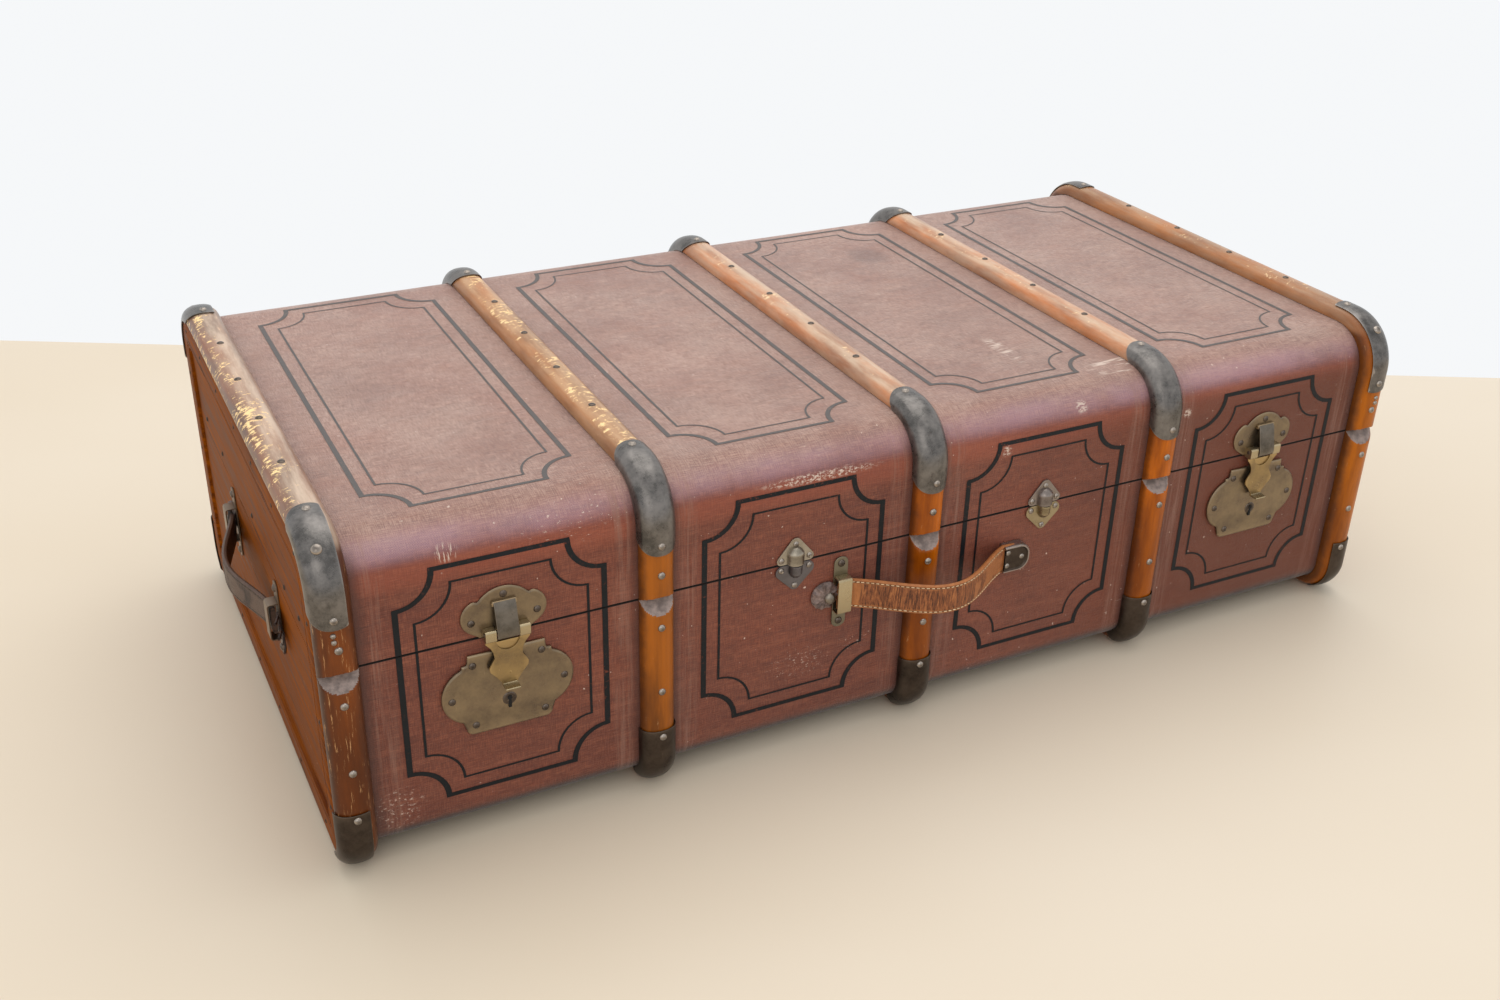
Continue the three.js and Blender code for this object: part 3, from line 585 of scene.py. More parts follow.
# ---- the wrap round the case ----
class Wrap:
    """The canvas surface as a path from the front seam over (or under) the case to the rear seam."""

    def __init__(self, direction, radius, level):
        self.direction, self.radius, self.level = direction, radius, level
        self.drop = abs(level - SEAM) - radius
        self.quarter = radius * math.pi / 2
        self.flat = 2 * (HALF_DEPTH - radius)
        self.length = 2 * (self.drop + self.quarter) + self.flat

    def at(self, s):
        """Point and outward direction in depth and height at a length from the front seam."""
        if s > self.length / 2:
            point, out = self.at(self.length - s)
            return Vector((0, -point.y, point.z)), Vector((0, -out.y, out.z))
        side = HALF_DEPTH - self.radius
        turned = self.level - self.direction * self.radius
        if s <= self.drop:
            return Vector((0, -HALF_DEPTH, SEAM + self.direction * s)), Vector((0, -1, 0))
        if s <= self.drop + self.quarter:
            turn = (s - self.drop) / self.radius
            out = Vector((0, -math.cos(turn), self.direction * math.sin(turn)))
            return Vector((0, -side, turned)) + out * self.radius, out
        along = s - self.drop - self.quarter
        return Vector((0, along - side, self.level)), Vector((0, 0, self.direction))

    def above(self, x, s, up):
        """The point at x and a length from the front seam, lifted off the surface."""
        point, out = self.at(s)
        return Vector((x, 0, 0)) + point + out * up

    def seen_from(self, s, rear):
        """The same length measured from the rear seam, for work that repeats there."""
        return self.length - s if rear else s

    def stations(self, start, end, step, fine=()):
        """Lengths from start to end: dense where asked, closer in the turns."""
        first, last = self.drop, self.length - self.drop
        bends = [first, first + self.quarter, last - self.quarter, last]
        marks = sorted({start, end, *(m for m in (*fine, *bends) if start < m < end)})
        out = []
        for a, b in zip(marks, marks[1:]):
            middle = (a + b) / 2
            bent = bends[0] < middle < bends[1] or bends[2] < middle < bends[3]
            count = max(1, math.ceil((b - a) / (step * 0.6 if bent else step)))
            out += [a + (b - a) * i / count for i in range(count)]
        return out + [marks[-1]]


LID = Wrap(1, TOP_RADIUS, CANVAS_TOP)
BODY = Wrap(-1, BOTTOM_RADIUS, CANVAS_BOTTOM)


def ripple(x, s, seed):
    """Small unevenness of cloth glued to board, always inwards, in metres."""
    wide = noise.noise(Vector((x * 9, s * 9, seed)))
    small = noise.noise(Vector((x * 34, s * 34, seed + 9)))
    return -0.22 * MM * (1 + 0.7 * wide + 0.3 * small)


def shell(name, wrap, body, seed):
    """The canvas wrap with its board: outer cloth, rounded seam edges darkened as painted shade for the
    seam's gap, and a paper lining inside.
    """
    fine = [1.1 * MM, 2.0 * MM, wrap.length - 2.0 * MM, wrap.length - 1.1 * MM]
    stations = wrap.stations(0.4 * MM, wrap.length - 0.4 * MM, 12 * MM, fine)
    count, columns = len(stations), 96
    piece = Piece(name)
    rows = []
    for i in range(columns + 1):
        x = HALF_SHELL * (2 * i / columns - 1)
        outer, inner = [], []
        for s in stations:
            from_edge = min(s, wrap.length - s)
            rounding = max(0.0, 1.2 * MM - from_edge) ** 2 / (1.6 * MM)
            outer.append((wrap.above(x, s, ripple(x, s, seed) - rounding), (s, x, 0.0)))
            inner.append((wrap.above(x, s, -WALL), (s, x, WALL)))
        rows.append(outer + inner[::-1])

    # Slot 2 is painted shade: the board's edge and the last 1.3 mm of cloth at each seam.
    def slot_of(_, j):
        if j in (count - 1, 2 * count - 1):
            return 2
        if j < count - 1:
            return 2 if min(stations[j + 1], wrap.length - stations[j]) < 1.3 * MM else 0
        return 1

    index = piece.grid(rows, closed=True, slot_of=slot_of)
    for row in (index[0], index[-1]):
        for j in range(count - 1):
            piece.face((row[j], row[j + 1], row[2 * count - 2 - j], row[2 * count - 1 - j]), 1)
    piece.build(body, "canvas", [CANVAS, LINING, SEAM_SHADE], [name])


# ---- painted stripes ----
STRIPE_HALF = 87 * MM
STRIPE_RADIUS = 31 * MM
# Inset and width of the outer and the inner line.
STRIPE_LINES = [(0.0, 5.0 * MM), (14.5 * MM, 2.3 * MM)]
FRONT_STRIPE_LOW = SEAM - 50.5 * MM
FRONT_STRIPE_HIGH = 270 * MM - SEAM
TOP_STRIPE_FROM_FRONT = 43 * MM


def ribbon(piece, wrap, corners, width, closed):
    """A flat painted line through (x, s) corners on a wrap, mitred, thinner where it runs lengthwise.
    Points are added so that its long straight runs follow the surface."""
    path = []
    for a, b in zip(corners, corners[1:] + corners[:1] if closed else corners[1:]):
        steps = int(math.dist(a, b) / (9 * MM)) + 1
        path += [(a[0] + (b[0] - a[0]) * k / steps, a[1] + (b[1] - a[1]) * k / steps) for k in range(steps)]
    if not closed:
        path.append(corners[-1])
    count = len(path)
    rows = []
    for i, point in enumerate(path):
        before = path[(i - 1) % count] if closed or i else path[i]
        after = path[(i + 1) % count] if closed or i < count - 1 else path[i]
        into = Vector((point[0] - before[0], point[1] - before[1]))
        away = Vector((after[0] - point[0], after[1] - point[1]))
        into = into.normalized() if into.length > 0 else away.normalized()
        away = away.normalized() if away.length > 0 else into
        normal = Vector((-into.y - away.y, into.x + away.x)).normalized()
        reach = width / max(0.5, normal.dot(Vector((-into.y, into.x))))
        row = []
        for side in (-reach, reach):
            x, s = point[0] + normal.x * side / 2, point[1] + normal.y * side * 0.39
            row.append((wrap.above(x, s, 0.1 * MM), (s, x, 0.0)))
        rows.append(row)
    piece.grid(rows + rows[:1] if closed else rows)


def scoops(first, second, s, turn):
    """Two scooped corners at one end of a painted outline, as (x, s) points."""
    return (arc(first, s, STRIPE_RADIUS, turn, turn - 90, 10)
            + arc(second, s, STRIPE_RADIUS, turn - 270, turn - 360, 10))


def stripes():
    """Two painted outlines in each bay of the front, the top and the back."""
    lid, body = Piece("lid_stripes"), Piece("body_stripes")
    edge = 0.8 * MM
    start = LID.drop + LID.quarter + TOP_STRIPE_FROM_FRONT - TOP_RADIUS
    for cx in BAYS:
        for inset, width in STRIPE_LINES:
            left, right = cx - STRIPE_HALF + inset, cx + STRIPE_HALF - inset
            for wrap, piece, end in ((LID, lid, FRONT_STRIPE_HIGH), (BODY, body, FRONT_STRIPE_LOW)):
                front = [(right, edge), *scoops(right, left, end - inset, 270), (left, edge)]
                ribbon(piece, wrap, front, width, False)
                ribbon(piece, wrap, [(x, wrap.length - s) for x, s in front], width, False)
            top = (scoops(right, left, LID.length - start - inset, 270)
                   + scoops(left, right, start + inset, 90))
            ribbon(lid, LID, top, 0.88 * width, True)
    lid.build("lid", "canvas", [STRIPE])
    body.build("trunk_body", "canvas", [STRIPE])


# ---- end boards ----
def outline_point(wrap, s, inset):
    """A point of the wrap's outline moved inwards. Past the corner's centre it stays in the corner."""
    point, out = wrap.at(s)
    side = -1 if point.y < 0 else 1
    if inset > wrap.radius and abs(out.y) < 0.9999 and abs(out.z) < 0.9999:
        return side * (HALF_DEPTH - inset), wrap.level - wrap.direction * inset
    moved = point - out * inset
    return moved.y, moved.z


# Inset and height above the panel across the raised border, with a double groove.
BORDER_PROFILE = scaled([(0.0, -5.6), (0.0, 2.2), (0.8, 3.0), (19.5, 3.0), (20.2, 1.9), (20.9, 3.0),
                         (22.4, 3.0), (23.1, 1.9), (23.8, 3.0), (26.0, 2.8), (27.0, 0.0)])


def end_board(name, wrap, body, side, seed):
    """An end board: a raised, grooved border that follows the outline, and a sunk panel."""
    panel_face = END_FACE - PANEL_RECESS
    piece = Piece(name)
    rows = []
    for s in wrap.stations(0.3 * MM, wrap.length - 0.3 * MM, 14 * MM):
        row = []
        for inset, height in BORDER_PROFILE:
            y, z = outline_point(wrap, s, inset)
            row.append(((side * (panel_face + height), y, z), (s, inset, height)))
        rows.append(row)
    index = piece.grid(rows)
    inner = [piece.points[row[-1]] for row in index]
    columns = 24
    rows = []
    for z in sorted({round(point.z, 6) for point in inner}):
        width = max(abs(point.y) for point in inner if abs(point.z - z) < 1e-5)
        row = []
        for k in range(columns + 1):
            share = 2 * k / columns - 1
            swell = 0.3 * MM * noise.noise(Vector((share * 3, z * 20, seed)))
            row.append(((side * (panel_face + swell), width * share, z), (z, width * share, 0.0)))
        rows.append(row)
    piece.grid(rows)
    piece.face([row[0] for row in index], 1)
    piece.face(index[0] + index[-1][::-1])
    piece.build(body, "end_panel", [BOARD, LINING], [name], sharp=50)


# ---- slats ----
RIB_POWER = 2.3


def rib_point(turn, half, height):
    """A point of the slat's round section: across it and up from the canvas."""
    across = math.copysign(abs(math.cos(turn)) ** (2 / RIB_POWER), math.cos(turn))
    return half * across, height * max(0.0, math.sin(turn)) ** (2 / RIB_POWER)


def slat(name, wrap, body, number, chamfer, material):
    """One bentwood slat with its ends cut to a slope at the seam."""
    x0, half = slat_place(number)
    fine = [i * 1.1 * MM for i in range(1, 28)]
    fine += [wrap.length - f for f in fine]
    foot = 0.3 * MM
    rows, cut = [], []
    for s in wrap.stations(0.3 * MM, wrap.length - 0.3 * MM, 7 * MM, fine):
        from_end = min(s, wrap.length - s)
        limit = 1.0 * MM + (RIB_HEIGHT - 1.0 * MM) * from_end / chamfer
        wobble = 0.25 * MM * noise.noise(Vector((s * 14, number * 3.1, wrap.direction)))
        row, flags = [], []
        for turn in (math.pi * i / 26 for i in range(27)):
            across, up = rib_point(turn, half - 0.2 * MM, RIB_HEIGHT - 0.2 * MM + wobble)
            flags.append(up > limit)
            up = max(foot, min(up, limit))
            row.append((wrap.above(x0 + across, s, up), (s + number, across, up)))
        for across in (-0.6 * half, 0.6 * half):
            flags.append(False)
            row.append((wrap.above(x0 + across, s, foot), (s + number, across, 0.0)))
        rows.append(row)
        cut.append(flags)

    def slot_of(i, j):
        k = (j + 1) % len(cut[0])
        return 1 if cut[i][j] and cut[i][k] and cut[i + 1][j] and cut[i + 1][k] else 0

    piece = Piece(name)
    piece.grid(rows, closed=True, ends=True, slot_of=slot_of)
    piece.build(body, "slat_wood", [material, END_GRAIN], [name], sharp=32)


# ---- slat caps ----
CAP_STAND = 0.45 * MM
CAP_SHEET = 1.0 * MM
LID_CAP_START = 247 * MM - SEAM - 3 * MM
LID_CAP_END = LID.drop + LID.quarter + 52 * MM - TOP_RADIUS + 2 * MM
FOOT_CAP_START = SEAM - 67 * MM
FOOT_CAP_END = BODY.drop + BODY.quarter * 67.5 / 90


def cap(name, wrap, body, number, start, end, steel, rounded, open_side):
    """A drawn steel cap over a slat. Rounded ends run to a shallow curve. open_side leaves the slat's
    inner flank bare."""
    x0, half = slat_place(number)
    depth, steps = 13.0 * MM, 20
    shares = (0.02, 0.06, 0.12, 0.2, 0.3, 0.45, 0.6, 0.8, 1) if rounded else ()
    fine = [start + depth * f for f in shares] + [end - depth * f for f in shares]
    rows = []
    for s in wrap.stations(start, end, 4 * MM, fine):
        share = 1.0
        if rounded:
            share = math.sqrt(min(1.0, max(0.006, min(s - start, end - s) / depth)))
        low = math.pi / 2 * (1 - share)
        high = math.pi - low
        if open_side > 0:
            low = max(low, math.radians(58))
        if open_side < 0:
            high = min(high, math.radians(122))
        dent = 0.12 * MM * noise.noise(Vector((s * 40, number * 5.3, wrap.direction * 2)))
        outer, inner = [], []
        for i in range(steps + 1):
            turn = low + (high - low) * i / steps
            for stand, ring in ((CAP_STAND + CAP_SHEET + dent, outer), (CAP_STAND, inner)):
                across, up = rib_point(turn, half + stand, RIB_HEIGHT + stand)
                up = max(up, 0.35 * MM)
                ring.append((wrap.above(x0 + across, s, up), (s, across, up)))
        rows.append(outer + inner[::-1])
    piece = Piece(name)
    piece.grid(rows, closed=True, ends=True)
    piece.build(body, "cap_steel", [steel], [name], bevel=0.3, sharp=50)


def rib_nail(piece, wrap, number, s, across=0.0, stand=0.0, radius=3.5, height=2.5):
    """A dome-headed nail on a slat or cap. Its radius and height are in millimetres."""
    x0, half = slat_place(number)
    turn = math.acos(max(-1, min(1, math.copysign(abs(across / half) ** (RIB_POWER / 2), across))))
    across, up = rib_point(turn, half + stand, RIB_HEIGHT + stand)
    wiggle = rng.uniform(-0.9, 0.9) * MM
    centre = wrap.above(x0 + across + wiggle, s + wiggle, up - 0.35 * MM)
    _, out = wrap.at(s)
    lean = across / half * 0.8
    normal = out + Vector((lean + rng.uniform(-0.06, 0.06), 0, rng.uniform(-0.05, 0.05)))
    piece.dome(centre, normal, radius, height)


def slats_and_caps():
    """Slats, caps and their nails, front and back."""
    lid_nails, body_nails = Piece("lid_slat_nails"), Piece("body_slat_nails")
    tacks = Piece("lid_slat_tacks")
    stand = CAP_STAND + CAP_SHEET
    top = LID.drop + LID.quarter - TOP_RADIUS
    under = BODY.drop + BODY.quarter - BOTTOM_RADIUS
    marks = [(lid_nails, LID, 224 * MM - SEAM, 0.0), (lid_nails, LID, 253 * MM - SEAM, stand),
             (lid_nails, LID, top + 46 * MM, stand), (body_nails, BODY, SEAM - 173 * MM, 0.0),
             (body_nails, BODY, SEAM - 108 * MM, 0.0), (body_nails, BODY, SEAM - 61 * MM, stand)]
    side_marks = [(LID.drop + LID.quarter * 0.55, stand, 4.6, 3.0),
                  (232 * MM - SEAM, 0.0, 2.4, 2.5), (238 * MM - SEAM, 0.0, 2.4, 2.5)]
    caps = [("lid", LID, "lid", (LID_CAP_START, LID_CAP_END), STEEL),
            ("foot", BODY, "trunk_body", (FOOT_CAP_START, FOOT_CAP_END), FOOT_STEEL)]
    for number in SLAT_NUMBERS:
        wood = {1: WOOD_LEFT, 2: WOOD_CHIPPED, 5: WOOD_RIGHT}.get(number, WOOD)
        open_side = {1: 1, 5: -1}.get(number, 0)
        slat(f"lid_slat_{number}", LID, "lid", number, 5 * MM, wood)
        slat(f"body_slat_{number}", BODY, "trunk_body", number, 14 * MM, wood)
        for end, rear in (("front", False), ("rear", True)):
            for kind, wrap, body, span, steel in caps:
                low, high = sorted(wrap.seen_from(s, rear) for s in span)
                cap(f"{end}_{kind}_cap_{number}", wrap, body, number, low, high, steel, wrap is LID,
                    open_side)
            for nails, wrap, s, on_cap in marks:
                rib_nail(nails, wrap, number, wrap.seen_from(s, rear), stand=on_cap)
            for s, on_cap, radius, height in side_marks if open_side else ():
                rib_nail(lid_nails, LID, number, LID.seen_from(s, rear), -open_side * 3 * MM, on_cap,
                         radius, height)
        for k in range(1, 5):
            rib_nail(tacks, LID, number, top + (46 + 88.6 * k) * MM, radius=3.4, height=1.5)
        for k in range(1, 6):
            rib_nail(body_nails, BODY, number, under + 88.6 * k * MM, radius=3.0, height=0.15)
    lid_nails.build("lid", "cap_steel", [NAIL])
    tacks.build("lid", "cap_steel", [DARK_NAIL])
    body_nails.build("trunk_body", "cap_steel", [NAIL])


# ---- fittings on the front ----
FRONT = Matrix.Translation((0, -HALF_DEPTH, 0))
LOCK_PLATE = mirrored(
    [(0.0, 107.0)] + arc(31, 113.5, 6.5, -90, 0, 4) + arc(28.9, 146, 27.8, -66.5, 66.5, 18)
    + [(38.5, 172.5), (38.3, 175.0), (34.5, 175.5), (33.6, 177.5), (33.0, 184.0), (0.0, 184.0)])[1:-1]
LID_PLATE = mirrored(
    [(0.0, 198.6), (21.2, 198.6)] + arc(20, 217.5, 16.2, -50, 66, 12)
    + [(24.5, 232.6), (21.8, 231.6)] + arc(0, 215, 27, 42, 90, 8))[1:-1]
TONGUE_HALF = [(6.3, 151.5), (7.0, 155.0), (11.5, 161.5), (16.2, 167.0), (16.6, 171.0), (14.2, 175.5),
               (11.8, 179.5), (12.6, 185.0), (15.0, 190.0), (18.8, 194.5), (19.0, 198.6)]
LOCK_NAILS = [(-29.4, 174.5), (29.4, 174.5), (-48.2, 144.5), (48.2, 144.5), (-29.6, 116.5), (30.4, 116.5)]
LID_PLATE_NAILS = [(0.0, 235.3), (-27.8, 213.8), (27.8, 213.8)]
# Stand-off and height of the hasp's pin.
HASP_AXIS = (6.0, 203.0)
# Radius and stand-off across the ring round the keyhole.
KEYHOLE_RING = ((6.2, 2.9), (6.0, 3.4), (5.4, 3.8), (3.6, 4.0), (1.8, 4.1), (0.3, 4.1))
KEEPER_PROFILE = [
    (1.9, 230.6), (4.6, 230.2), (6.4, 227.0), (8.2, 220.0), (10.2, 212.0), (11.7, 206.5), (12.2, 203.0),
    (11.8, 200.2), (10.4, 198.3), (9.2, 199.4), (10.2, 201.0), (10.6, 203.2), (10.1, 206.2), (8.6, 211.6),
    (6.7, 219.6), (5.0, 226.2), (3.8, 228.7), (1.9, 229.2)]


def face_nails(piece, spots, away, radius, height, slot=0):
    """Dome-headed nails on a face that looks towards -Y, at (x, z). All sizes are in millimetres."""
    for x, z in spots:
        normal = Vector((rng.uniform(-0.08, 0.08), -1, rng.uniform(-0.08, 0.08)))
        piece.dome((x * MM, (0.3 - away) * MM, z * MM), normal, radius, height, slot)


def raised_field(piece, inset, rise):
    """Steps a plate's front face up inside a narrow border, as stamped sheet is. In millimetres."""
    work = bmesh.new()
    work.from_mesh(piece.data)
    front = min((f for f in work.faces if len(f.verts) > 12 and f.normal.y < -0.9),
                key=lambda f: f.calc_center_median().y)
    bmesh.ops.inset_region(work, faces=[front], thickness=inset * MM, depth=rise * MM)
    work.to_mesh(piece.data)
    work.free()


def lock(side, word):
    """One lock: body plate with keyhole, lid plate with keeper, and the hasp."""
    place = FRONT @ Matrix.Translation((BAYS[0] if side < 0 else BAYS[3], 0, 0))
    plate = Piece(f"lock_plate_{word}")
    plate.prism(LOCK_PLATE, 0.3, 2.2)
    made = plate.build("trunk_body", "lock_brass", [BRASS], [f"lock_plate_{word}"], place, 0.45)
    raised_field(made, 1.6, 0.9)
    details = Piece(f"lock_details_{word}")
    face_nails(details, LOCK_NAILS, 2.9, 3.4, 2.3)
    turns = [2 * math.pi * k / 28 for k in range(28)]
    rows = [[((radius * MM * math.cos(t), -away * MM, 135 * MM + radius * MM * math.sin(t)),
              (radius * MM, t, 0.0)) for t in turns] for radius, away in KEYHOLE_RING]
    details.grid(rows, closed=True, ends=True)
    details.build("trunk_body", "lock_brass", [DARK_NAIL], place=place)
    keyhole = Piece(f"lock_keyhole_{word}")
    hole = arc(0, 136.2, 2.1, -62, 242, 14) + [(-1.3, 130.5), (-1.3, 126.5), (1.3, 126.5), (1.3, 130.5)]
    keyhole.prism(hole, 3.0, 4.35)
    keyhole.build("trunk_body", "lock_brass", [BLACK], place=place)

    lid_plate = Piece(f"lock_lid_plate_{word}")
    lid_plate.prism(LID_PLATE, 0.3, 1.5)
    made = lid_plate.build("lid", "lid_plate_brass", [BRASS], [f"lock_lid_plate_{word}"], place, 0.4)
    raised_field(made, 1.5, 0.6)
    keeper = Piece(f"lock_keeper_{word}")
    keeper.bar(KEEPER_PROFILE, [9.2 * share for share in (-1, -0.96, 0, 0.96, 1)])
    keeper.prism(mirrored([(10.6, 226.5), (10.6, 229.6), (9.6, 230.8)]), 1.9, 4.6, 1)
    keeper.build("lid", "lid_plate_brass", [KEEPER, BRASS], place=place, bevel=0.35)
    pin = Piece(f"lock_pin_{word}")
    away, height = (c * MM for c in HASP_AXIS)
    pin.rod((-19.4 * MM, -away, height), (19.4 * MM, -away, height), 2 * MM, 16, 0, 0.4 * MM)
    face_nails(pin, LID_PLATE_NAILS, 1.9, 3.4, 2.3)
    pin.build("lid", "cap_steel", [DARK_NAIL], place=place)

    hasp = Piece(f"hasp_{word}")
    notch = [(10.0, 198.6)] + arc(0, 196, 10, 0, -180, 14) + [(-10.0, 198.6)]
    left = [(-x, z) for x, z in reversed(TONGUE_HALF)]
    hasp.prism(TONGUE_HALF + notch + left, 6.2, 7.8)
    # The lugs and the lift lip take slot 1, the paler olive brass, as a painted highlight where they catch
    # the light.
    corners = ((8.6, 205.4, 0), (3.4, 205.4, 90), (3.4, 198.6, 180), (8.6, 198.6, 270))
    lug = [point for a, z, turn in corners for point in arc(a, z, 2.0, turn, turn + 90, 4)]
    for stops in ((9.7, 19.0), (-19.0, -9.7)):
        hasp.bar(lug, stops, slot=1)
    hasp.prism([(-9.9, 194.4)] + arc(0, 196, 10.4, 190, 350, 14) + [(9.9, 194.4)], 5.2, 6.5)
    lip = [(6.4, 154.0), (7.8, 154.0), (8.6, 153.3), (15.6, 152.9), (16.0, 152.1), (15.4, 151.4),
           (7.4, 151.2), (6.4, 152.0)]
    hasp.bar(lip, (-6.3, 6.3), slot=1)
    face_nails(hasp, [(-8.0, 168.0), (0.5, 163.5)], 7.7, 1.7, 0.5)
    hasp.build(f"hasp_{word}", "lock_brass", [HASP_BRASS, BAND_BRASS], [f"hasp_{word}"], place, 0.35)


def catch(side, word, upper):
    """Half of a dowel catch: a three-cornered plate with a round boss that meets the seam."""
    middle = BAYS[1] if side < 0 else BAYS[2]
    turn = Matrix.Identity(4) if upper else Matrix.Rotation(math.pi, 4, "Y")
    place = FRONT @ Matrix.Translation((middle, 0, SEAM)) @ turn
    name = f"catch_{'upper' if upper else 'lower'}_{word}"
    height, crown = 25.0 if upper else 26.5, 5.6
    ear = arc(13.8, 4.7, 4.3, -90, 40, 6) if upper else arc(12.2, 7.2, 6.7, -90, 30, 8)
    outline = [(0.0, 0.5)] + ear + arc(0, height - crown, crown, 38, 90, 6)
    piece = Piece(name)
    piece.prism(mirrored(outline)[1:-1], 0.3, 1.7)
    top, half = (17.0, 8.2) if upper else (14.5, 6.4)
    turns = [math.pi * i / 14 for i in range(15)]
    rows = []
    for k in range(13):
        z = 0.5 + (top - 0.5) * k / 12
        share = min(1.0, math.sqrt(max(0.02, (top + 0.3 - z) / 6.0)))
        across, away = half * share, 7.8 * share
        rows.append([((across * MM * math.cos(t), -(1.2 + away * math.sin(t)) * MM, z * MM),
                      (z * MM, across * math.cos(t) * MM, 0.0)) for t in turns])
    piece.grid(rows, closed=True, ends=True)
    metal = {(-1, True): NICKEL, (-1, False): GREY_STEEL, (1, True): CATCH_STEEL, (1, False): BAND_BRASS}
    spots = [(-13.8, 5.0), (13.8, 5.0), (0.0, height - (6.0 if upper else 4.2))]
    face_nails(piece, spots, 1.7, 3.0, 2.1, 1)
    made = piece.build("lid" if upper else "trunk_body", "lock_brass" if upper else "catch_steel",
                       [metal[side, upper], NAIL], [name], place, 0.3)
    raised_field(made, 1.3, 0.7)


# ---- handles ----
STRAP_STAND = 6 * MM
STRAP_NECK = 12 * MM
# Half width of each strap, and how far its middle bows out.
FRONT_STRAP = (15 * MM, 42 * MM)
END_STRAP = (13 * MM, 21 * MM)
BRIDGE_PROFILE = [
    (1.7, -18.0), (9.0, -18.0), (10.6, -17.3), (11.4, -15.6), (11.4, 15.6), (10.6, 17.3), (9.0, 18.0),
    (1.7, 18.0), (1.7, 16.6), (8.8, 16.6), (9.7, 16.0), (10.0, 15.0), (10.0, -15.0), (9.7, -16.0),
    (8.8, -16.6), (1.7, -16.6)]
# Radius, stand-off and depth of the folds across a strap's gathered end.
TAB_RINGS = ((13.6, 0.4, 0.4), (14.0, 1.8, 1.0), (13.0, 3.6, 1.5), (11.2, 4.6, 1.7), (8.6, 4.8, 1.4),
             (5.6, 4.8, 0.6), (0.4, 4.8, 0.0))


def strap_path(start, end, rise):
    """Stations along a bowed strap: x, stand-off, slope and length along it."""
    middle, half = (start + end) / 2, (end - start) / 2
    count = 72
    xs = [start - STRAP_NECK, *(middle + half * (2 * i / count - 1) for i in range(count + 1)),
          end + STRAP_NECK]
    out, length = [], 0.0
    for x in xs:
        u = max(-1.0, min(1.0, (x - middle) / half))
        away = STRAP_STAND + rise * 0.5 * ((1 - u * u) + math.cos(math.pi * u / 2) ** 2)
        ease = min(1.0, (1 - abs(u)) / 0.1)
        slope = (-u - math.pi / 4 * math.sin(math.pi * u)) * rise / half * ease
        if out:
            length += math.dist((x, away), out[-1][:2])
        out.append((x, away, slope, length))
    return out


def strap_section(half):
    """The strap's rounded section: across and thickness, crowned between its stitched edges."""
    thick = 2.4 * MM
    front = []
    for i in range(25):
        across = half * (1 - 2 * i / 24)
        share = abs(across) / half
        crown = thick * (1 - 0.18 * share ** 2)
        groove = 0.5 * MM * math.exp(-((abs(across) - half + 2.7 * MM) / (0.7 * MM)) ** 2)
        edge = thick * 0.75 * max(0.0, (share - 0.93) / 0.07) ** 2
        front.append((across, crown - groove - edge))
    return front + [(-a, -t) for a, t in front]


def stitches(piece, path, first, last, half):
    """Two rows of stitches on the part of a strap between two stations."""
    total = path[-1][3]
    count = int(total / (4.4 * MM))
    for at in (k * total / count for k in range(3, count - 3)):
        if not path[first][3] <= at < path[last][3]:
            continue
        i = max(n for n in range(len(path)) if path[n][3] <= at)
        x, away, slope, length = path[i]
        nxt = path[min(i + 1, len(path) - 1)]
        share = (at - length) / max(1e-9, nxt[3] - length)
        x, away = x + (nxt[0] - x) * share, away + (nxt[1] - away) * share
        out = Vector((-slope, -1, 0)).normalized()
        run = Vector((1, -slope, 0)).normalized() * 1.4 * MM
        for edge in (2.7 * MM - half, half - 2.7 * MM):
            centre = Vector((x, -away, edge)) + out * 1.95 * MM
            piece.rod(centre - run, centre + run, 0.42 * MM, 6, 1, 0.2 * MM)


def strap(word, start, end, place, shape, leather, thread):
    """A stitched leather strap in two halves, each bending from the trunk into the handle."""
    half, rise = shape
    path = strap_path(start, end, rise)
    section = strap_section(half)
    middle = len(path) // 2
    for part, first, last, root, inwards in (("near", 0, middle, start, 1),
                                             ("far", middle, len(path) - 1, end, -1)):
        piece = Piece(f"{word}_handle_strap_{part}")
        rows = []
        for x, away, slope, length in path[first:last + 1]:
            out = Vector((-slope, -1, 0)).normalized()
            dip = 0.5 * MM * noise.noise(Vector((length * 30, start * 9, 1)))
            rows.append([(Vector((x, -away, across + dip)) + out * thick, (length, across, thick))
                         for across, thick in section])
        piece.grid(rows, closed=True, ends=True)
        stitches(piece, path, first, last, half)
        made = piece.build(None, "handle_leather", [leather, thread], [f"{word}_handle_strap"], place)
        fixed = place @ Vector((root - inwards * 2 * MM, -STRAP_STAND, 0))
        free = place @ Vector((root + inwards * 22 * MM, -STRAP_STAND, 0))
        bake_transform(made)


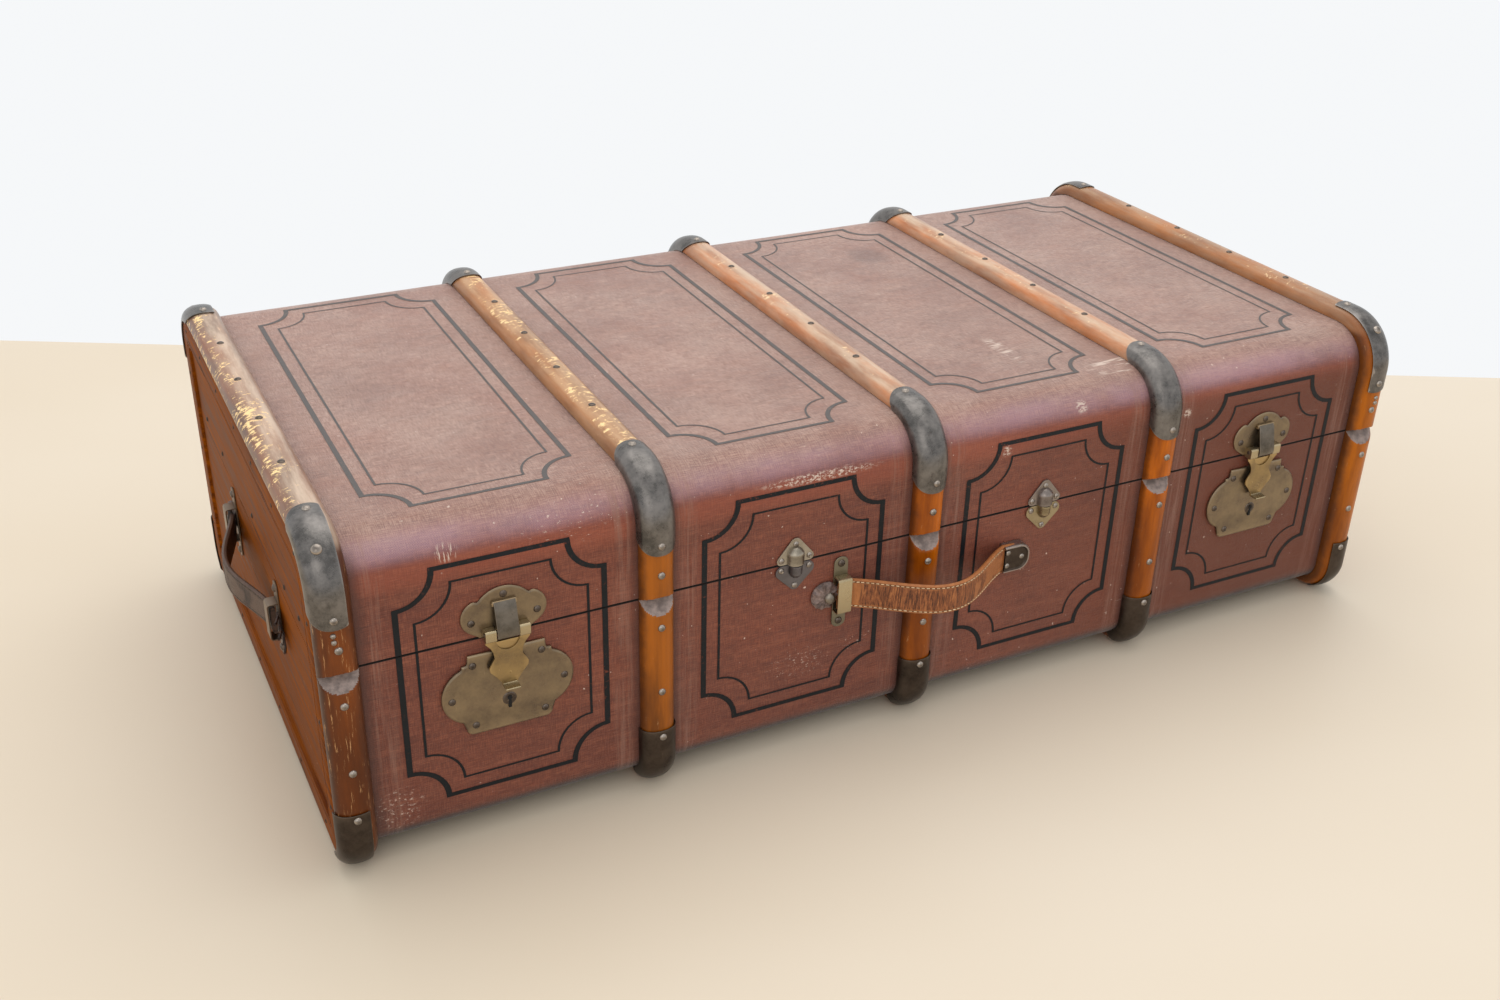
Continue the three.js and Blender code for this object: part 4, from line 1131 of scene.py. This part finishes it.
def loop(name, tab_side, place, metals, slot):
    """A wall plate with a bridge over the strap, and the strap end's round tab beside it."""
    plate = Piece(name)
    half = 7
    outline = arc(0, 34.5, 7.0, 0, 180, 10) + arc(0, -34.5, 7.0, 180, 360, 10)
    plate.prism([(x * (0.82 if 20 < abs(z) < 30 else 1), z * 36.5 / 41.5) for x, z in outline], 0.3, 1.7)
    for row in plate.bar(BRIDGE_PROFILE, (-half, half), ends=False, slot=2):
        for j in range(len(row) // 2 - 1):
            plate.face((row[j], row[j + 1], row[-2 - j], row[-1 - j]), 2)
    face_nails(plate, [(0.0, -30.0), (0.0, 30.0)], 1.6, 3.8, 2.6, 1)
    plate.build("trunk_body", slot, [metals[0], DARK_NAIL, metals[1]], [name], place, 0.3)
    if name == "left_handle_loop_front":
        frayed_tail(place, tab_side)
        return
    tab = Piece(name.replace("loop", "tab"))
    centre = tab_side * (half + 8.5)
    rows = []
    for radius, away, fold in TAB_RINGS:
        row = []
        for t in (2 * math.pi * k / 72 for k in range(72)):
            pleat = fold * (1 - 2 * abs(math.sin(5.5 * t + 0.7 * math.sin(3 * t))) ** 0.6)
            r = radius + 0.5 * pleat
            point = (centre + r * math.cos(t), -away - 0.55 * pleat, r * math.sin(t))
            row.append(scaled((point, (radius, t * 8, 0.0))))
        rows.append(row)
    tab.grid(rows, closed=True, ends=True)
    face_nails(tab, [(centre - tab_side * 4, -2)], 4.6, 6, 4.6, 1)
    tab.build("trunk_body", "handle_leather", [DARK_LEATHER, KEEPER], place=place)


def frayed_tail(place, side):
    """The split and curling strap end beyond a loop."""
    tail = Piece("left_handle_tail")
    for k in range(5):
        middle = (k - 2) * 4.6
        length = 23 + 6 * rng.random()
        curl, spread = 2.0 + 5.0 * rng.random(), middle * 0.02 + rng.uniform(-0.06, 0.06)
        rows = []
        for f in (i / 10 for i in range(11)):
            x, z = side * (8 + length * f), middle + spread * length * f
            away = 1.0 + k * 0.5 + curl * f * f + 0.5 * math.sin(7 * f + k)
            half = 2.1 * (1 - 0.35 * f)
            rows.append([((x * MM, -(away + up) * MM, (z + edge) * MM), (x * MM, edge * MM, up * MM))
                         for edge, up in ((-half, 0), (half, 0), (half, 1.6), (0, 2.1), (-half, 1.6))])
        tail.grid(rows, closed=True, ends=True)
    tail.build("trunk_body", "handle_leather", [DARK_STRAP], place=place)


def handle_cover(place):
    """The stamped cover over the front strap's right end."""
    cover = Piece("front_handle_cap")
    outline = scaled([(-13.0, -14.2), *arc(4, -2.3, 11.9, -90, 0, 8), *arc(4, 2.3, 11.9, 0, 90, 8),
                      (-13.0, 14.2)])
    rows = []
    for share, away in ((1.0, 0.3), (1.0, 7.0), (0.98, 9.2), (0.92, 10.4), (0.84, 10.4), (0.76, 8.9),
                        (0.2, 8.9)):
        rows.append([((x * share if x > -12 * MM else x, -away * MM, z * share), (x, z, away * MM))
                     for x, z in outline])
    cover.grid(rows, closed=True, ends=True, slot=2, slot_of=lambda i, _: 2 if i > 3 else 0)
    face_nails(cover, [(7.0, 0.0), (-9.0, 7.0), (-9.0, -7.0)], 8.7, 3.0, 2.2, 1)
    cover.build("trunk_body", "cap_steel", [CATCH_STEEL, NAIL, FOOT_STEEL], ["front_handle_cap"], place,
                sharp=30)


def joint_named(name):
    """A joint of the shared frame."""
    return next(j for j in frame["joints"] if j["name"] == name)


def handles():
    """The front handle, and one on each end."""
    axis = joint_named("front_handle_swing")
    left = Vector(axis["pos_m"])
    tilt = math.asin(axis["axis"][2])
    cover_low, cover_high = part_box("front_handle_cap")
    loop_at = FRONT @ Matrix.Translation((left.x, 0, left.z))
    loop("front_handle_loop", -1, loop_at, (PLATE_BRASS, BAND_BRASS), "loop_brass")
    cover_x = cover_low.x + 13 * MM
    handle_cover(FRONT @ Matrix.Translation((cover_x, 0, (cover_low.z + cover_high.z) / 2)))
    span = (cover_x - left.x) / math.cos(tilt)
    strap("front", 8 * MM, span - 14 * MM, loop_at @ Matrix.Rotation(tilt, 4, "Y"), FRONT_STRAP, LEATHER,
          THREAD)
    reach = 93 * MM
    for side, word in ((-1, "left"), (1, "right")):
        y, z = joint_named(f"{word}_handle_swing")["pos_m"][1:]
        face = (Matrix.Translation((side * (END_FACE - PANEL_RECESS), y, z))
                @ Matrix.Rotation(side * math.pi / 2, 4, "Z"))
        for end_sign, end_word in ((side, "rear"), (-side, "front")):
            at = face @ Matrix.Translation((end_sign * reach, 0, 0))
            loop(f"{word}_handle_loop_{end_word}", end_sign, at, (LOOP_STEEL, LOOP_STEEL), "loop_steel")
        strap(word, 8 * MM - reach, reach - 8 * MM, face, END_STRAP, DARK_STRAP, DARK_THREAD)


# ---- rear hinges ----
def rear_hinge(word):
    """A strap hinge on the back: leaves with round corners, screws and rolled knuckles."""
    low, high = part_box(f"hinge_body_leaf_{word}")
    place = Matrix.Translation(((low.x + high.x) / 2, HALF_DEPTH, SEAM)) @ Matrix.Rotation(math.pi, 4, "Z")
    away = joint_named("lid_hinge")["pos_m"][1] - HALF_DEPTH
    leaf = [(-25.0, 0.6), (25.0, 0.6), *arc(19, 38.5, 6, 0, 90, 6), *arc(-19, 38.5, 6, 90, 180, 6)]
    for direction, body, name, spans in (
            (-1, "trunk_body", f"hinge_body_leaf_{word}", [(-25.0, -10.0), (10.0, 25.0)]),
            (1, "lid", f"hinge_lid_leaf_{word}", [(-9.6, 9.6)])):
        piece = Piece(name)
        piece.prism([(x, direction * z) for x, z in leaf], 0.3, 1.4)
        for a, b in spans:
            piece.rod((a * MM, -away, 0), (b * MM, -away, 0), 3.9 * MM, 24, 0, 0.4 * MM)
            web = [(a, 0.4), (b, 0.4), (b, 3.4), (a, 3.4)]
            piece.prism([(x, direction * z) for x, z in web], 1.0, 4.5)
        spots = [(x, direction * z) for x, z in ((-16, 14), (0, 30), (16, 14))]
        face_nails(piece, spots, 1.3, 3.2, 1.2, 1)
        piece.build(body, "hinge_steel", [STEEL, NAIL], [name], place, 0.25)


# ---- end nails ----
def end_nails():
    """Nails along the borders and across the middle of each end."""
    lid, body = Piece("lid_end_nails"), Piece("body_end_nails")
    for side in (-1, 1):
        for piece, wrap, count in ((lid, LID, 9), (body, BODY, 10)):
            for k in range(count):
                s = wrap.length * (k + 0.5) / count + rng.uniform(-6, 6) * MM
                y, z = outline_point(wrap, s, 10 * MM)
                piece.dome((side * (END_FACE - 0.3 * MM), y, z), (side, 0, 0), 2.3, 1.0)
        for y, z in ((-150, 212), (-205, 214), (120, 211), (200, 213), (-20, 214)):
            lid.dome((side * (END_FACE - PANEL_RECESS - 0.2 * MM), y * MM, z * MM), (side, 0, 0),
                     2.6, 1.4)
    lid.build("lid", "cap_steel", [OLD_NAIL])
    body.build("trunk_body", "cap_steel", [OLD_NAIL])


# ---- camera, light and floor ----
CAMERA_AT = Vector((-0.7163, -1.3105, 0.9030))
HEADING, PITCH, ROLL = math.radians(27.31), math.radians(28.34), math.radians(1.44)
LENS = 38.05
# Name, place, size, power and colour of each lamp. Both face the same point.
LAMPS = [("overhead", (0.3, 0.6, 2.6), 2.6, 30.0, (1.0, 0.98, 0.95)),
         ("front_fill", (-1.6, -2.6, 2.2), 2.0, 12.0, (1.0, 0.97, 0.93))]
LIT_POINT = Vector((0, 0, 0.2))
FLOOR_WIDTH, FLOOR_BEYOND, FLOOR_BEHIND = 9.0, 2.1, 4.0


def studio():
    """The camera, a plain plaster floor, a pale sky and two soft lamps."""
    scene = bpy.context.scene
    forward = Vector((math.sin(HEADING) * math.cos(PITCH), math.cos(HEADING) * math.cos(PITCH),
                      -math.sin(PITCH)))
    right = forward.cross(Vector((0, 0, 1))).normalized()
    up = right.cross(forward)
    turned_right = right * math.cos(ROLL) + up * math.sin(ROLL)
    turned_up = up * math.cos(ROLL) - right * math.sin(ROLL)
    camera = bpy.data.objects.new("camera", bpy.data.cameras.new("camera"))
    scene.collection.objects.link(camera)
    camera.data.lens, camera.data.sensor_width = LENS, 36.0
    camera.matrix_world = Matrix.Translation(CAMERA_AT) @ Matrix(
        (turned_right, turned_up, -forward)).transposed().to_4x4()
    scene.camera = camera

    bpy.ops.mesh.primitive_plane_add(size=1)
    floor = bpy.context.object
    floor.name = "floor"
    level = Vector((forward.x, forward.y, 0)).normalized()
    centre = Vector((CAMERA_AT.x, CAMERA_AT.y, 0)) + level * (FLOOR_BEYOND - FLOOR_BEHIND) / 2
    floor.matrix_world = (Matrix.Translation(centre) @ Matrix.Rotation(-HEADING, 4, "Z")
                          @ Matrix.Diagonal((FLOOR_WIDTH, FLOOR_BEYOND + FLOOR_BEHIND, 1, 1)))
    ground = Shader("floor_plaster")
    patches = ground.layers((218, 202, 178), (ground.place.noise(2.2, 5.0).band(0.3, 0.7), (226, 213, 194)))
    floor.data.materials.append(ground.finish(patches, ground.place.noise(7.0).band(0.3, 0.7, 0.4, 0.55)))

    scene.world = bpy.data.worlds.new("studio")
    scene.world.use_nodes = True
    sky = scene.world.node_tree.nodes["Background"].inputs
    sky["Color"].default_value = (0.97, 0.985, 1.0, 1.0)
    sky["Strength"].default_value = 0.95
    for name, at, size, power, colour in LAMPS:
        light = bpy.data.lights.new(name, "AREA")
        light.size, light.energy, light.color = size, power, colour
        lamp = bpy.data.objects.new(name, light)
        scene.collection.objects.link(lamp)
        lamp.location = at
        lamp.rotation_euler = (LIT_POINT - Vector(at)).to_track_quat("-Z", "Y").to_euler()
    scene.view_settings.view_transform = "Standard"


shell("lid_shell", LID, "lid", 1.0)
shell("body_shell", BODY, "trunk_body", 2.0)
stripes()
for side, word in ((-1, "left"), (1, "right")):
    end_board(f"lid_end_{word}", LID, "lid", side, 3.0 + side)
    end_board(f"body_end_{word}", BODY, "trunk_body", side, 5.0 + side)
    lock(side, word)
    catch(side, word, True)
    catch(side, word, False)
    rear_hinge(word)
slats_and_caps()
handles()
end_nails()
frame["nodes"]["body_rim"].data.materials.clear()
frame["nodes"]["body_rim"].data.materials.append(SOFTWOOD)
studio()
